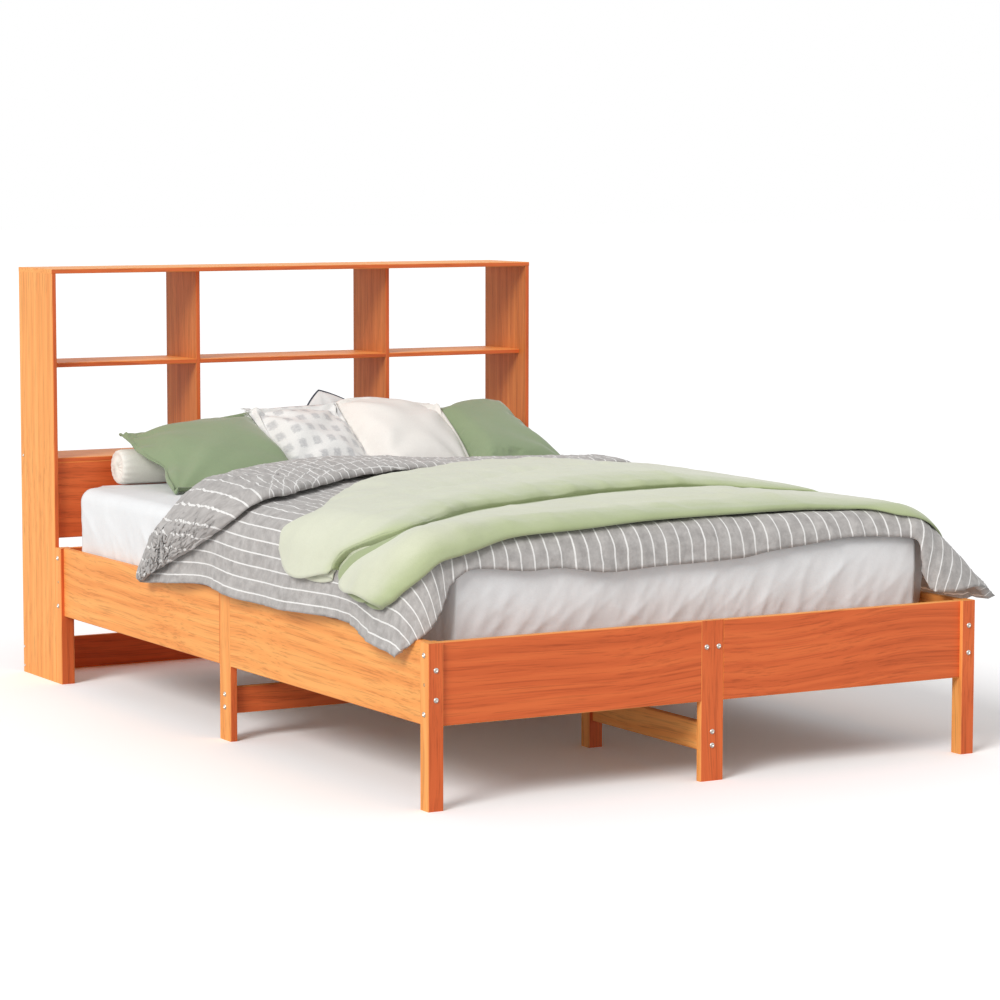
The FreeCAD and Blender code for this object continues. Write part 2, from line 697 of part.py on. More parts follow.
def cross_dowel(centre, direction, bolt_direction):
    """A steel cross dowel about its centre, with the hole that its bolt runs through."""
    half = direction * (mm("barrel_nut_length") / 2)
    barrel = prism_between(centre - half, centre + half, mm("barrel_nut_diameter"))
    past = bolt_direction * mm("barrel_nut_diameter")
    thread = prism_between(centre - past, centre + past, mm("bolt_diameter + bolt_clearance"))
    return barrel.cut(thread)


for end_sign in (-1, 1):
    face_y = mm("foot_face + rail_inset") if end_sign < 0 else mm("head_face - rail_inset")
    inward = Vector(0, -end_sign, 0)
    for way in (-1, 1):
        seat = Vector(way * mm("bearer_bolt_spacing / 2"), face_y, mm("bearer_top - bearer_thickness / 2"))
        mid_bolts.append(frame_bolt(seat, inward, board_depth))
    for height in STRETCHER_BOLTS:
        seat = Vector(0, face_y, mm(height))
        mid_bolts.append(frame_bolt(seat, inward, board_depth))
        nut = seat + inward * (board_depth + mm("barrel_nut_distance"))
        cross_dowels.append(cross_dowel(nut, Vector(1, 0, 0), inward))
for side_sign in (-1, 1):
    inward = Vector(-side_sign, 0, 0)
    for height in STRETCHER_BOLTS:
        seat = Vector(side_sign * (half_width - mm("rail_inset")), mm("middle_y"), mm(height))
        mid_bolts.append(frame_bolt(seat, inward, board_depth))
        nut = seat + inward * (board_depth + mm("barrel_nut_distance"))
        cross_dowels.append(cross_dowel(nut, Vector(0, 1, 0), inward))
feature("mid_leg_bolts", Part.makeCompound(mid_bolts))
feature("cross_dowels", Part.makeCompound(cross_dowels))

screws = []
for side_sign in (-1, 1):
    for from_front, height in SCREW_PLACES:
        seat = Vector(side_sign * half_width, mm("head_face") + mm(from_front), mm(height))
        tip = seat - Vector(side_sign, 0, 0) * mm("screw_length")
        screws.append(bolt(tip, seat, mm("screw_head_diameter"), mm("screw_head_height"),
                           mm("screw_diameter"), 0))
feature("bookcase_screws", Part.makeCompound(screws))

# Corner brackets: folded steel angles behind the head legs, which tie each side panel to
# the leg in front of it.
brackets = []
for side_sign in (-1, 1):
    inner_face = side_sign * mm("bed_width / 2 - board_thickness")
    gauge = mm("bracket_gauge")
    leaf = mm("bracket_leaf")
    front = mm("head_face")
    for height in ("rail_bottom / 2", "rail_top - bracket_margin - bracket_height"):
        low = mm(height)
        angle = Part.makePolygon([
            Vector(inner_face, front, low),
            Vector(inner_face, front + leaf, low),
            Vector(inner_face - side_sign * gauge, front + leaf, low),
            Vector(inner_face - side_sign * gauge, front + gauge, low),
            Vector(inner_face - side_sign * leaf, front + gauge, low),
            Vector(inner_face - side_sign * leaf, front, low),
            Vector(inner_face, front, low),
        ])
        brackets.append(Part.Face(angle).extrude(Vector(0, 0, mm("bracket_height"))))
feature("corner_brackets", Part.makeCompound(brackets))

# ---------------------------------------------------------------- mattress and duvet

clearance = mm("soft_clearance")
MATTRESS_FOOT = "head_face - (%s) - end_play - mattress_length" % RAIL_BACK


def rounded_outline(half, foot, head, corner, height):
    """A rectangle with rounded corners at one height, symmetrical about X = 0."""
    bend = corner * (1 - math.sqrt(0.5))
    edges = []
    for sign, low, high in ((-1, head, foot), (1, foot, head)):
        step = corner if high > low else -corner
        start = Vector(sign * (half - corner), low, height)
        turn_in = Vector(sign * half, low + step, height)
        near = low + (bend if step > 0 else -bend)
        edges.append(Part.Arc(start, Vector(sign * (half - bend), near, height), turn_in).toShape())
        turn_out = Vector(sign * half, high - step, height)
        edges.append(Part.LineSegment(turn_in, turn_out).toShape())
        finish = Vector(sign * (half - corner), high, height)
        far = high - (bend if step > 0 else -bend)
        edges.append(Part.Arc(turn_out, Vector(sign * (half - bend), far, height), finish).toShape())
        across = Vector(-sign * (half - corner), high, height)
        edges.append(Part.LineSegment(finish, across).toShape())
    return Part.Wire(edges)


# The mattress: rounded outlines, one above another. Each level is its height as a share
# of the whole, and how far its outline draws in as a share of the edge's rounding.
MATTRESS_LEVELS = (
    (0, 1), (0.022, 0.5), (0.075, 0.15), (0.15, 0),
    (0.85, 0), (0.925, 0.15), (0.978, 0.5), (1, 1),
)
mattress_low = mm("slat_top + soft_clearance")
mattress_foot = mm(MATTRESS_FOOT)
mattress_head = mattress_foot + mm("mattress_length")
levels = []
for share, drawn in MATTRESS_LEVELS:
    inward = drawn * mm("mattress_edge")
    levels.append(rounded_outline(
        mm("mattress_width / 2") - inward,
        mattress_foot + inward,
        mattress_head - inward,
        mm("mattress_corner") - inward,
        mattress_low + share * mm("mattress_height"),
    ))
feature("mattress", Part.makeLoft(levels, True, True))


# The duvet and the throw are cloth laid over the bed. Their own measures are across, from the
# middle of the bed, and along, which is Y on top of the bed and runs on past it at the foot.
DUVET_ACROSS = (
    -925, -900, -868, -835, -800, -765, -732, -700, -670, -640, -590, -530, -450, -350, -240, -120,
    0, 120, 240, 360, 470, 545, 590, 620, 650, 685, 720, 760, 805, 850, 890, 925,
)
# Each table holds places across the bed, and how far along it, or past its foot, a line lies.
HEAD_EDGE = (
    (-925, 300), (-880, 285), (-840, 262), (-795, 215), (-744, 150), (-690, 115), (-600, 185),
    (-513, 268), (-420, 335), (-333, 380), (-168, 420), (27, 445), (240, 445), (500, 430), (925, 390),
)
FLAP_EDGE = (
    (-925, 270), (-900, 225), (-882, 139), (-837, 13), (-783, -107), (-720, -205), (-621, -205),
    (-530, -140), (-444, -60), (-340, 20), (-240, 97), (-84, 175), (50, 225), (240, 255), (500, 275),
    (925, 290),
)
FOOT_HANG = (
    (-925, 67), (-879, 118), (-846, 142), (-825, 160), (-765, 181), (-700, 172), (-660, 150),
    (-620, 112), (-576, 97), (-444, 112), (-363, 112), (-246, 130), (-129, 127), (108, 121),
    (195, 109), (309, 97), (426, 85), (570, 97), (620, 108), (640, 160), (684, 205), (762, 181),
    (820, 130), (867, 88), (925, 50),
)
# Measured along the bed, as a share of the hang at the sides.
SIDE_HANG = (
    (-1080, 1.0), (-986, 0.97), (-923, 0.945), (-803, 0.86), (-602, 0.87), (-452, 0.90), (-290, 0.91),
    (-59, 0.88), (172, 0.945), (304, 1.0),
)
TABLE_HALF, TABLE_EDGE, TABLE_FOOT = 640, 925, -1015  # the bed that the tables were drawn for
TABLE_LENGTH = 1560

flat_half = mm("mattress_width / 2 - duvet_side_inset")
flat_foot = mm(MATTRESS_FOOT) + mm("duvet_foot_inset")
side_hang = mm("duvet_side_hang")
along_scale = mm("duvet_length") / TABLE_LENGTH
under = mm("mattress_top") + clearance
over_rail = mm("rail_top + duvet_rise")
rail_side = mm("bed_width / 2 + duvet_rail_gap")
foot_side = mm("foot_face - duvet_rail_gap")
duvet_level = mm("mattress_top + duvet_thickness")


def between(place, table):
    """The value at a place, on straight lines between (place, value) pairs."""
    if place <= table[0][0]:
        return table[0][1]
    for (low, first), (high, second) in zip(table, table[1:]):
        if place <= high:
            return first + (second - first) * (place - low) / (high - low)
    return table[-1][1]


def on_this_bed(table_along):
    """A table's place along the bed, on this bed."""
    return flat_foot + (table_along - TABLE_FOOT) * along_scale


def over_the_bed(across, along):
    """Where cloth lies on the duvet's upper face: flat, then round an edge, then hanging.

    Past the flat top, a point's way beyond the edge has a length and a direction, sideways or
    footwards or both, and the bend and the slope belong to that direction. The right foot
    corner bends sooner and flares wide.
    """
    near = 0
    if across > 0:
        near = math.exp(-((along - flat_foot + mm("corner_inset")) / mm("corner_length")) ** 2)
    half = flat_half - near * mm("corner_inset")
    beyond_side = max(abs(across) - half, 0)
    beyond_foot = max(flat_foot - along, 0)
    reach = math.hypot(beyond_side, beyond_foot)
    turn = math.atan2(beyond_foot, beyond_side) if reach > 0 else 0
    footward = math.sin(turn) ** 2
    side_round = mm("duvet_side_round") + near * mm("corner_round")
    radius = side_round + (mm("duvet_foot_round") - side_round) * footward
    side_flare = mm("duvet_side_flare") + near * mm("corner_flare")
    flare = math.radians(side_flare + (mm("duvet_foot_flare") - side_flare) * footward)
    arc = min(reach, radius * (math.pi / 2 - flare))
    past = reach - arc
    out = radius * math.sin(arc / radius) + past * math.sin(flare)
    drop = radius * (1 - math.cos(arc / radius)) + past * math.cos(flare)
    fold = math.sin(2 * math.pi * along / mm("fold_length"))
    out += mm("fold_depth") * fold * min(beyond_side / side_hang, 1) ** 2
    x = math.copysign(min(abs(across), half) + out * math.cos(turn), across)
    y = max(along, flat_foot) - out * math.sin(turn)
    crown = mm("duvet_crown") * (1 - (x / rail_side) ** 2)
    edge_share = min(max((abs(across) - 0.7 * flat_half) / (0.2 * flat_half), 0), 1)
    return Vector(x, y, duvet_level + crown + near * mm("corner_rise") * edge_share - drop)


def outward(across, along):
    """The direction that the duvet's upper face looks in, from its two slopes."""
    step = 2
    slope_across = over_the_bed(across + step, along) - over_the_bed(across - step, along)
    slope_along = over_the_bed(across, along + step) - over_the_bed(across, along - step)
    return slope_across.cross(slope_along).normalize()


def is_clear(point, margin):
    """Whether a point is clear of the mattress, and of the rails and legs below their tops."""
    edge = mm("mattress_edge")
    corner = mm("mattress_corner")
    half = mm("mattress_width / 2")
    past_x = abs(point.x) - (half - corner)
    past_y = mm(MATTRESS_FOOT) + corner - point.y
    plan = math.hypot(max(past_x, 0), max(past_y, 0)) + min(max(past_x, past_y), 0) - corner + edge
    past_z = point.z - (mm("mattress_top") - edge)
    gap = math.hypot(max(plan, 0), max(past_z, 0)) + min(max(plan, past_z), 0) - edge
    if gap < margin:
        return False
    return abs(point.x) > rail_side or point.y < foot_side or point.z > over_rail


def below(point, direction, thickness):
    """The duvet's lower face under a point: as deep as its filling, or to what is there."""
    margin = mm("duvet_margin")
    step = 0.5
    depth = step
    while depth < thickness and is_clear(point - direction * (depth + step), margin):
        depth += step
    return point - direction * depth


def triangles(first, second, third, fourth):
    """A four-sided patch as two flat triangles."""
    return [Part.Face(Part.makePolygon([first, second, third, first])),
            Part.Face(Part.makePolygon([first, third, fourth, first]))]


def sheet_of(grid, flipped=False):
    """The patches between a grid's neighbouring points."""
    facets = []
    for low, high in zip(grid, grid[1:]):
        for row in range(len(low) - 1):
            patch = [low[row], high[row], high[row + 1], low[row + 1]]
            facets += triangles(*(patch[::-1] if flipped else patch))
    return facets


def closed_by(upper, lower):
    """The solid between two grids that match: both faces and the rim between them."""
    rim_above = [line[0] for line in upper] + upper[-1][1:] + [line[-1] for line in upper[-2::-1]]
    rim_above += upper[0][-2:0:-1]
    rim_below = [line[0] for line in lower] + lower[-1][1:] + [line[-1] for line in lower[-2::-1]]
    rim_below += lower[0][-2:0:-1]
    facets = sheet_of(upper) + sheet_of(lower, flipped=True)
    for place in range(len(rim_above)):
        after = (place + 1) % len(rim_above)
        facets += triangles(rim_below[place], rim_below[after], rim_above[after], rim_above[place])
    return Part.makeSolid(Part.makeShell(facets))


def cloth_across(table_across, along):
    """A table's place across the bed, on this bed and this duvet."""
    size = abs(table_across)
    if size <= TABLE_HALF:
        return table_across * flat_half / TABLE_HALF
    table_along = TABLE_FOOT + (along - flat_foot) / along_scale
    hang = side_hang * between(table_along, SIDE_HANG)
    beyond = (size - TABLE_HALF) / (TABLE_EDGE - TABLE_HALF) * hang
    return math.copysign(flat_half + beyond, table_across)


# The duvet: from the foot hem to the flap's edge, up onto the flap, and on to the head edge.
BEND_STEPS = 5
FLAT_STEPS = 9
# Shares of the flap's width from its foot edge, and of its height: a step, a swell, a fold.
FLAP_SHAPE = ((0.02, 0.75, 0), (0.06, 1, 0.3), (0.25, 1, 1), (0.5, 1, 1), (0.8, 1, 0.5), (0.95, 0.8, 0), (1, 0.3, 0))
upper_face = []
lower_face = []
for table_across in DUVET_ACROSS:
    head = on_this_bed(between(table_across, HEAD_EDGE))
    flap = on_this_bed(between(table_across, FLAP_EDGE))
    hang = between(table_across, FOOT_HANG)
    lying = min(max((table_across + 200) / 450, 0), 1)
    swell = mm("flap_swell") * min((head - flap) / 300, 1) * (1 - 0.8 * lying)
    height = mm("flap_thickness") * (1 - 0.75 * lying)
    places = [(flat_foot - hang * (1 - step / BEND_STEPS), 0) for step in range(BEND_STEPS)]
    places += [(flat_foot + (flap - flat_foot) * step / FLAT_STEPS, 0) for step in range(FLAT_STEPS + 1)]
    places += [(flap + (head - flap) * share, height * rise + swell * puff) for share, rise, puff in FLAP_SHAPE]
    upper_line = []
    lower_line = []
    for along, rise in places:
        across = cloth_across(table_across, along)
        point = over_the_bed(across, along)
        direction = outward(across, along)
        upper_line.append(point + direction * rise)
        if abs(across) < flat_half and along > flat_foot and point.z - duvet_level > -clearance:
            lower_line.append(Vector(point.x, point.y, under))
        else:
            lower_line.append(below(point, direction, mm("duvet_fill")))
    upper_face.append(upper_line)
    lower_face.append(lower_line)
feature("duvet", closed_by(upper_face, lower_face))

# ---------------------------------------------------------------- throw

# The throw lies across the duvet in two soft rolls and hangs over both sides. Its tables hold
# places across the bed, and how far along it the rolls' outer edges and their valley lie.
THROW_ACROSS = (
    -820, -790, -765, -732, -700, -670, -640, -590, -530, -450, -350, -240, -120,
    0, 120, 240, 360, 470, 545, 590, 620, 650, 685, 720, 760, 800,
)
THROW_UPPER = (
    (-820, -445), (-774, -431), (-732, -470), (-690, -485), (-600, -400), (-528, -323), (-420, -190),
    (-315, -68), (-200, 20), (-75, 91), (100, 195), (310, 240), (500, 235), (700, 190), (860, 170),
)
THROW_VALLEY = (
    (-820, -740), (-780, -779), (-765, -809), (-735, -880), (-702, -925), (-650, -915), (-573, -860),
    (-381, -712), (-210, -643), (93, -525), (363, -485), (500, -505), (640, -570), (860, -640),
)
THROW_LOWER = (
    (-831, -990), (-804, -1040), (-738, -1080), (-660, -1085), (-594, -1078), (-468, -1055),
    (-288, -1049), (-102, -1036), (144, -1028), (321, -1012), (480, -1025), (567, -1060),
    (640, -1065), (714, -1040), (860, -950),
)
# A roll's section: shares of its width and of its height, and the points under both rolls.
ROLL_SHAPE = ((0.03, 0.7), (0.12, 0.92), (0.35, 1.0), (0.65, 1.0), (0.88, 0.85), (0.97, 0.5))
throw_upper = []
throw_lower = []
for across in THROW_ACROSS:
    high = on_this_bed(between(across, THROW_UPPER))
    valley = on_this_bed(between(across, THROW_VALLEY))
    low = on_this_bed(between(across, THROW_LOWER))
    places = [(low, 0)]
    places += [(low + (valley - low) * share, rise) for share, rise in ROLL_SHAPE]
    places += [(valley, 0)]
    places += [(valley + (high - valley) * share, rise) for share, rise in ROLL_SHAPE]
    places += [(high, 0)]
    on_cloth = cloth_across(across, valley)
    upper_line = []
    lower_line = []
    for along, rise in places:
        point = over_the_bed(on_cloth, along)
        direction = outward(on_cloth, along)
        bent = abs(across) > 0.9 * TABLE_HALF or along < flat_foot + mm("duvet_foot_inset")
        lift = mm("throw_lift") if bent else 2 * clearance
        height = mm("throw_edge") + (mm("throw_roll") - mm("throw_edge")) * rise
        lower_line.append(point + direction * lift)
        upper_line.append(point + direction * (lift + height))
    throw_upper.append(upper_line)
    throw_lower.append(lower_line)
feature("throw", closed_by(throw_upper, throw_lower))

# ---------------------------------------------------------------- cushions

# Each cushion: the start of its sizes' names, where its middle lies across the bed and
# forward of the bookcase, how far it leans back from lying flat, how far it is turned about
# the upright, and how far it is rolled in its own plane.
CUSHIONS = {
    "plaid_cushion": ("plaid_cushion", -55, 206, 36, 4, 0),
    "cream_cushion": ("cream_cushion", 228, 200, 32, 16, -9),
    "left_green_pillow": ("green_pillow", -345, 216, 21, -14, 14),
    "right_green_pillow": ("green_pillow", 414, 205, 24, -4, 6),
    "back_white_pillow": ("white_pillow", 35, 72, 64, 0, 0),
}
DRAWN_IN = 0.045  # how far a side draws in between its corners, as a share of its length
SIDE_STEPS = 8  # straight lines along each side of a cushion's outline
# From the seam to the crown: the outline's scale, and its height as a share of the crown's.
CROWN_LEVELS = ((1, 0.07), (0.94, 0.32), (0.84, 0.6), (0.69, 0.83), (0.48, 0.96), (0.22, 1))


def cushion_outline(width, height, scale, level):
    """A cushion's outline at one level: four corners, with the sides drawn in between."""
    points = []
    for turn in range(4):
        half, out = (width / 2, height / 2) if turn % 2 == 0 else (height / 2, width / 2)
        for step in range(SIDE_STEPS):
            along = 2 * step / SIDE_STEPS - 1
            in_by = 2 * DRAWN_IN * half * (1 - along ** 2)
            point = Vector(along * half * scale, -(out - in_by) * scale, level)
            points.append(FreeCAD.Rotation(Vector(0, 0, 1), 90 * turn).multVec(point))
    return points


def cushion(width, height, thickness):
    """A crowned cushion lying flat: outlines that shrink from its seam to both crowns."""
    below = [(scale, -share * thickness / 2) for scale, share in reversed(CROWN_LEVELS)]
    above = [(scale, share * thickness / 2) for scale, share in CROWN_LEVELS]
    outlines = [cushion_outline(width, height, scale, level) for scale, level in below + above]
    return flat_loft(outlines)


def lean(lean_back, turn, roll):
    """The rotation of a cushion that is rolled in its plane, leant back, then turned."""
    upright = Vector(0, 0, 1)
    leant = FreeCAD.Rotation(Vector(1, 0, 0), lean_back).multiply(FreeCAD.Rotation(upright, roll))
    return FreeCAD.Rotation(upright, turn).multiply(leant)


# The bolster: a stuffed roll with bevelled ends, lying across the bed against the backrest.
ROLL_SIDES = 24


def bolster_roll(grown):
    """The bolster, with its radius and its ends grown by a clearance."""
    radius = mm("bolster_diameter / 2") + grown
    bevel = mm("bolster_end")
    length = mm("bolster_length")
    rings = []
    for along, inward in ((-grown, bevel), (bevel, 0), (length - bevel, 0), (length + grown, bevel)):
        rings.append(ring(radius - inward, along, ROLL_SIDES))
    roll = flat_loft(rings)
    corner = Vector(
        mm("bolster_place - bed_width / 2"),
        mm("head_face - bolster_gap - bolster_diameter / 2"),
        mm("mattress_top + bolster_diameter / 2") + clearance,
    )
    roll.Placement = FreeCAD.Placement(corner, FreeCAD.Rotation(Vector(0, 1, 0), 90))
    return roll


feature("bolster", bolster_roll(0))

placed = [bolster_roll(clearance)]
for name, (sizes, x, forward, lean_back, turn, roll) in CUSHIONS.items():
    width = mm(sizes + "_width")
    height = mm(sizes + "_height")
    thickness = mm(sizes + "_thickness")
    shape = cushion(width, height, thickness)
    place = Vector(x, mm("head_face") - forward, 0)
    shape.Placement = FreeCAD.Placement(place, lean(lean_back, turn, roll))
    lowest = shape.optimalBoundingBox(False, False).ZMin
    rest = FreeCAD.Placement(Vector(0, 0, mm("mattress_top") + clearance - lowest), FreeCAD.Rotation())
    shape.Placement = rest.multiply(shape.Placement)
    grown = cushion(width + 2 * clearance, height + 2 * clearance, thickness + 2 * clearance)
    grown.Placement = shape.Placement
    left = shape.cut(placed).Solids
    shape = max(left, key=lambda solid: solid.Volume)
    placed.append(grown)
    feature(name, shape)

# ---------------------------------------------------------------- checks and files

doc.recompute()
for item in doc.Objects:
    if "Invalid" in item.State or "Error" in item.State:
        raise ValueError(item.Label + " didn't recompute")
for piece in parts:
    if piece.Shape.isNull() or not piece.Shape.isValid():
        raise ValueError(piece.Label + " isn't a sound solid")

os.makedirs("parts", exist_ok=True)
for piece in parts:
    piece.Shape.exportStep("parts/%s.step" % piece.Label)
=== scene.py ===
import math

import bmesh
import bpy
import numpy as np
from mathutils import Euler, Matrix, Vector
from mathutils.bvhtree import BVHTree


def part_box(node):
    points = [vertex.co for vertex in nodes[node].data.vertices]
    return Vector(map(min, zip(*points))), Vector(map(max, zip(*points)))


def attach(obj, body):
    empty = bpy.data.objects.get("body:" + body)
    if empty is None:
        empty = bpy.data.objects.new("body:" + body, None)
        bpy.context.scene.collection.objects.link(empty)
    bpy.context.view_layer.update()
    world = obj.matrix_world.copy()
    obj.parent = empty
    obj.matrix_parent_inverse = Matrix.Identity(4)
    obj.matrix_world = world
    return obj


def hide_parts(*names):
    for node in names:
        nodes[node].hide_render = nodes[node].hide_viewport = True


# A slatted double bed with a bookcase headboard, dressed with its mattress and bedding.
# Metres, +Z up: X runs across the bed, and +Y points from the foot to the bookcase.

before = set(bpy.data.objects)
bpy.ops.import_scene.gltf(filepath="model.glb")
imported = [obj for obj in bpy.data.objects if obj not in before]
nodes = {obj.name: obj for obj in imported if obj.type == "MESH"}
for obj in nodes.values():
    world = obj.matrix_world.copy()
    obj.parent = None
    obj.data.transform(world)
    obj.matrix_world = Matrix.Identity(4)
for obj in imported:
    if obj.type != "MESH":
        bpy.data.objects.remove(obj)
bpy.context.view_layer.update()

# ---------------------------------------------------------------- camera
# A long lens at chest height, in front of the foot and well to its left. It looks thirty
# degrees across the bed and a little down on it.
CAMERA_PLACE = (-4.0703, -7.2419, 1.3656)
CAMERA_TURN = math.radians(29.97)
CAMERA_DIP = math.radians(5.73)
CAMERA_ROLL = -0.001
CAMERA_LENS = 119.5
CAMERA_REACH = 200

camera = bpy.data.objects.new("camera", bpy.data.cameras.new("camera"))
camera.location = CAMERA_PLACE
camera.rotation_euler = Euler((math.pi / 2 - CAMERA_DIP, CAMERA_ROLL, -CAMERA_TURN), "XYZ")
camera.data.sensor_width = 36
camera.data.lens = CAMERA_LENS
camera.data.clip_end = CAMERA_REACH
bpy.context.scene.collection.objects.link(camera)
bpy.context.scene.camera = camera

# ---------------------------------------------------------------- studio
# A wide pale floor under a white sky, with one broad soft lamp in front, to the left and
# above. The sky's own light fills every side. The floor looks white, and throws back the
# light of a pale grey.
KEY_STRENGTH, KEY_SPREAD = 1.95, math.radians(24)
KEY_COLOUR = (1.0, 0.99, 0.975)
KEY_WAY = (0.74, 0.40, -0.56)
SKY_STRENGTH, SKY_COLOUR = 0.60, (0.99, 0.995, 1, 1)
FLOOR_HALF = 60.0
FLOOR_SEEN, FLOOR_LIT = (1.16, 1.16, 1.17, 1), (0.74, 0.74, 0.74, 1)

bpy.context.scene.view_settings.view_transform = "Standard"


class Nodes:
    """Short ways to add and wire the nodes of one material or of the world."""

    def __init__(self, owner):
        owner.use_nodes = True
        self.tree = owner.node_tree
        self.tree.nodes.clear()

    def add(self, kind, inputs=(), **settings):
        """One node, its inputs linked or set by name or number, its own settings by name."""
        node = self.tree.nodes.new(kind)
        for name, value in settings.items():
            setattr(node, name, value)
        for key, value in dict(inputs).items():
            if isinstance(value, bpy.types.NodeSocket):
                self.tree.links.new(value, node.inputs[key])
            else:
                node.inputs[key].default_value = value
        return node

    def math(self, operation, *values):
        """One arithmetic step on sockets and numbers."""
        return self.add("ShaderNodeMath", dict(enumerate(values)), operation=operation).outputs[0]

    def mix(self, factor, first, second, blend="MIX"):
        """Two colours mixed by a factor: input 0 is the factor, and 6 and 7 are the colours."""
        node = self.add("ShaderNodeMix", data_type="RGBA", blend_type=blend)
        for index, value in ((0, factor), (6, first), (7, second)):
            if isinstance(value, bpy.types.NodeSocket):
                self.tree.links.new(value, node.inputs[index])
            else:
                node.inputs[index].default_value = value
        return node.outputs[2]

    def ramp(self, value, stops):
        """A number turned into a colour by (place, colour) stops."""
        node = self.add("ShaderNodeValToRGB", {"Fac": value})
        while len(node.color_ramp.elements) < len(stops):
            node.color_ramp.elements.new(0.5)
        for element, (place, colour) in zip(node.color_ramp.elements, stops):
            element.position = place
            element.color = colour
        return node.outputs[0]


world = bpy.data.worlds.new("sky")
bpy.context.scene.world = world
sky = Nodes(world)
path = sky.add("ShaderNodeLightPath")
seen = sky.math("MAXIMUM", path.outputs["Is Camera Ray"], path.outputs["Is Glossy Ray"])
seen = sky.math("MAXIMUM", seen, path.outputs["Is Transmission Ray"])
fill = sky.add("ShaderNodeBackground", {"Color": SKY_COLOUR, "Strength": SKY_STRENGTH})
plain = sky.add("ShaderNodeBackground", {"Color": (1, 1, 1, 1), "Strength": 1.0})
both = sky.add("ShaderNodeMixShader", {0: seen, 1: fill.outputs[0], 2: plain.outputs[0]})
sky.add("ShaderNodeOutputWorld", {"Surface": both.outputs[0]})

key = bpy.data.objects.new("key_lamp", bpy.data.lights.new("key_lamp", "SUN"))
key.data.energy = KEY_STRENGTH
key.data.angle = KEY_SPREAD
key.data.color = KEY_COLOUR
key.rotation_euler = Vector(KEY_WAY).to_track_quat("-Z", "Y").to_euler()
bpy.context.scene.collection.objects.link(key)


def grid_faces(rows, columns, closed_rows=False, closed_columns=False):
    """Quads over a grid of points, row by row, joined round where an edge is closed.

    Point (i, j) is number i * columns + j, and its quad takes in j + 1 and i + 1.
    """
    row = np.arange(rows if closed_rows else rows - 1)
    column = np.arange(columns if closed_columns else columns - 1)
    low_row, low_column = np.meshgrid(row, column, indexing="ij")
    high_row = (low_row + 1) % rows
    high_column = (low_column + 1) % columns
    corners = [low_row * columns + low_column, low_row * columns + high_column,
               high_row * columns + high_column, high_row * columns + low_column]
    return np.stack([corner.ravel() for corner in corners], axis=1)


def new_mesh(name, points, faces, material, smooth=True, uv=None):
    """An object at the origin, with its place in its points, made of four-sided faces."""
    mesh = bpy.data.meshes.new(name)
    mesh.from_pydata(points.reshape(-1, 3).tolist(), [], faces.tolist())
    if uv is not None:
        layer = mesh.uv_layers.new(name="cloth")
        layer.data.foreach_set("uv", uv.reshape(-1, 2)[faces.ravel()].ravel())
    mesh.polygons.foreach_set("use_smooth", [smooth] * len(mesh.polygons))
    mesh.update()
    mesh.materials.append(material)
    piece = bpy.data.objects.new(name, mesh)
    bpy.context.scene.collection.objects.link(piece)
    return piece


floor_paint = bpy.data.materials.new("studio_floor")
paint = Nodes(floor_paint)
path = paint.add("ShaderNodeLightPath")
tint = paint.mix(path.outputs["Is Camera Ray"], FLOOR_LIT, FLOOR_SEEN)
matt = paint.add("ShaderNodeBsdfDiffuse", {"Color": tint})
paint.add("ShaderNodeOutputMaterial", {"Surface": matt.outputs[0]})
across, along = np.meshgrid([-FLOOR_HALF, FLOOR_HALF], [-FLOOR_HALF, FLOOR_HALF], indexing="ij")
floor = new_mesh("studio_floor", np.stack([across, along, 0 * along], axis=-1),
                 grid_faces(2, 2)[:, ::-1], floor_paint, smooth=False)

# ---------------------------------------------------------------- frame and bookcase boards
# Legs, rails, stretchers and shelves are planed softwood under an orange-brown clear stain.
# Growth rings show as long streaks, with darker pores, and no two boards are cut alike.
# A stain is given from its darkest streak to its palest.
# The first stain is for faces turned to the front or back. The second is a paler copy with painted light, for
# faces turned to the sides, up or down, where the lamp falls.
FACE_STAIN = ((0.0, (0.57, 0.101, 0.023, 1)), (0.45, (0.75, 0.145, 0.037, 1)), (1.0, (0.88, 0.205, 0.054, 1)))
SIDE_LIT_STAIN = ((0.0, (0.80, 0.265, 0.058, 1)), (0.45, (0.96, 0.385, 0.100, 1)), (1.0, (1.0, 0.50, 0.150, 1)))
# The third is a darker copy with painted shade, for the sides of the boards inside the bookcase.
SHADED_INSIDE_STAIN = ((0.0, (0.44, 0.125, 0.024, 1)), (0.45, (0.57, 0.180, 0.038, 1)), (1.0, (0.68, 0.250, 0.062, 1)))
RAW_TIMBER = ((0.0, (0.50, 0.26, 0.115, 1)), (0.45, (0.63, 0.37, 0.18, 1)), (1.0, (0.74, 0.48, 0.26, 1)))
RING_SQUEEZE, PORE_SQUEEZE = 0.06, 0.018
GRAIN_AXES = {
    0: ("end_rail", "stretcher", "top_board", "lower_shelf", "middle_shelf", "backrest_panel",
        "base_rail", "splice_block", "slats"),
    1: ("side_rail", "slat_ledge", "centre_bearer"),
    2: ("leg", "side_panel", "divider"),
}
LENGTHWAYS = ("foot_stretcher", "head_stretcher", "left_splice_block", "right_splice_block")
SHADED_INSIDE = ("divider", "right_side_panel")
UNSTAINED = ("slats", "slat_ledge", "centre_bearer", "splice_block")


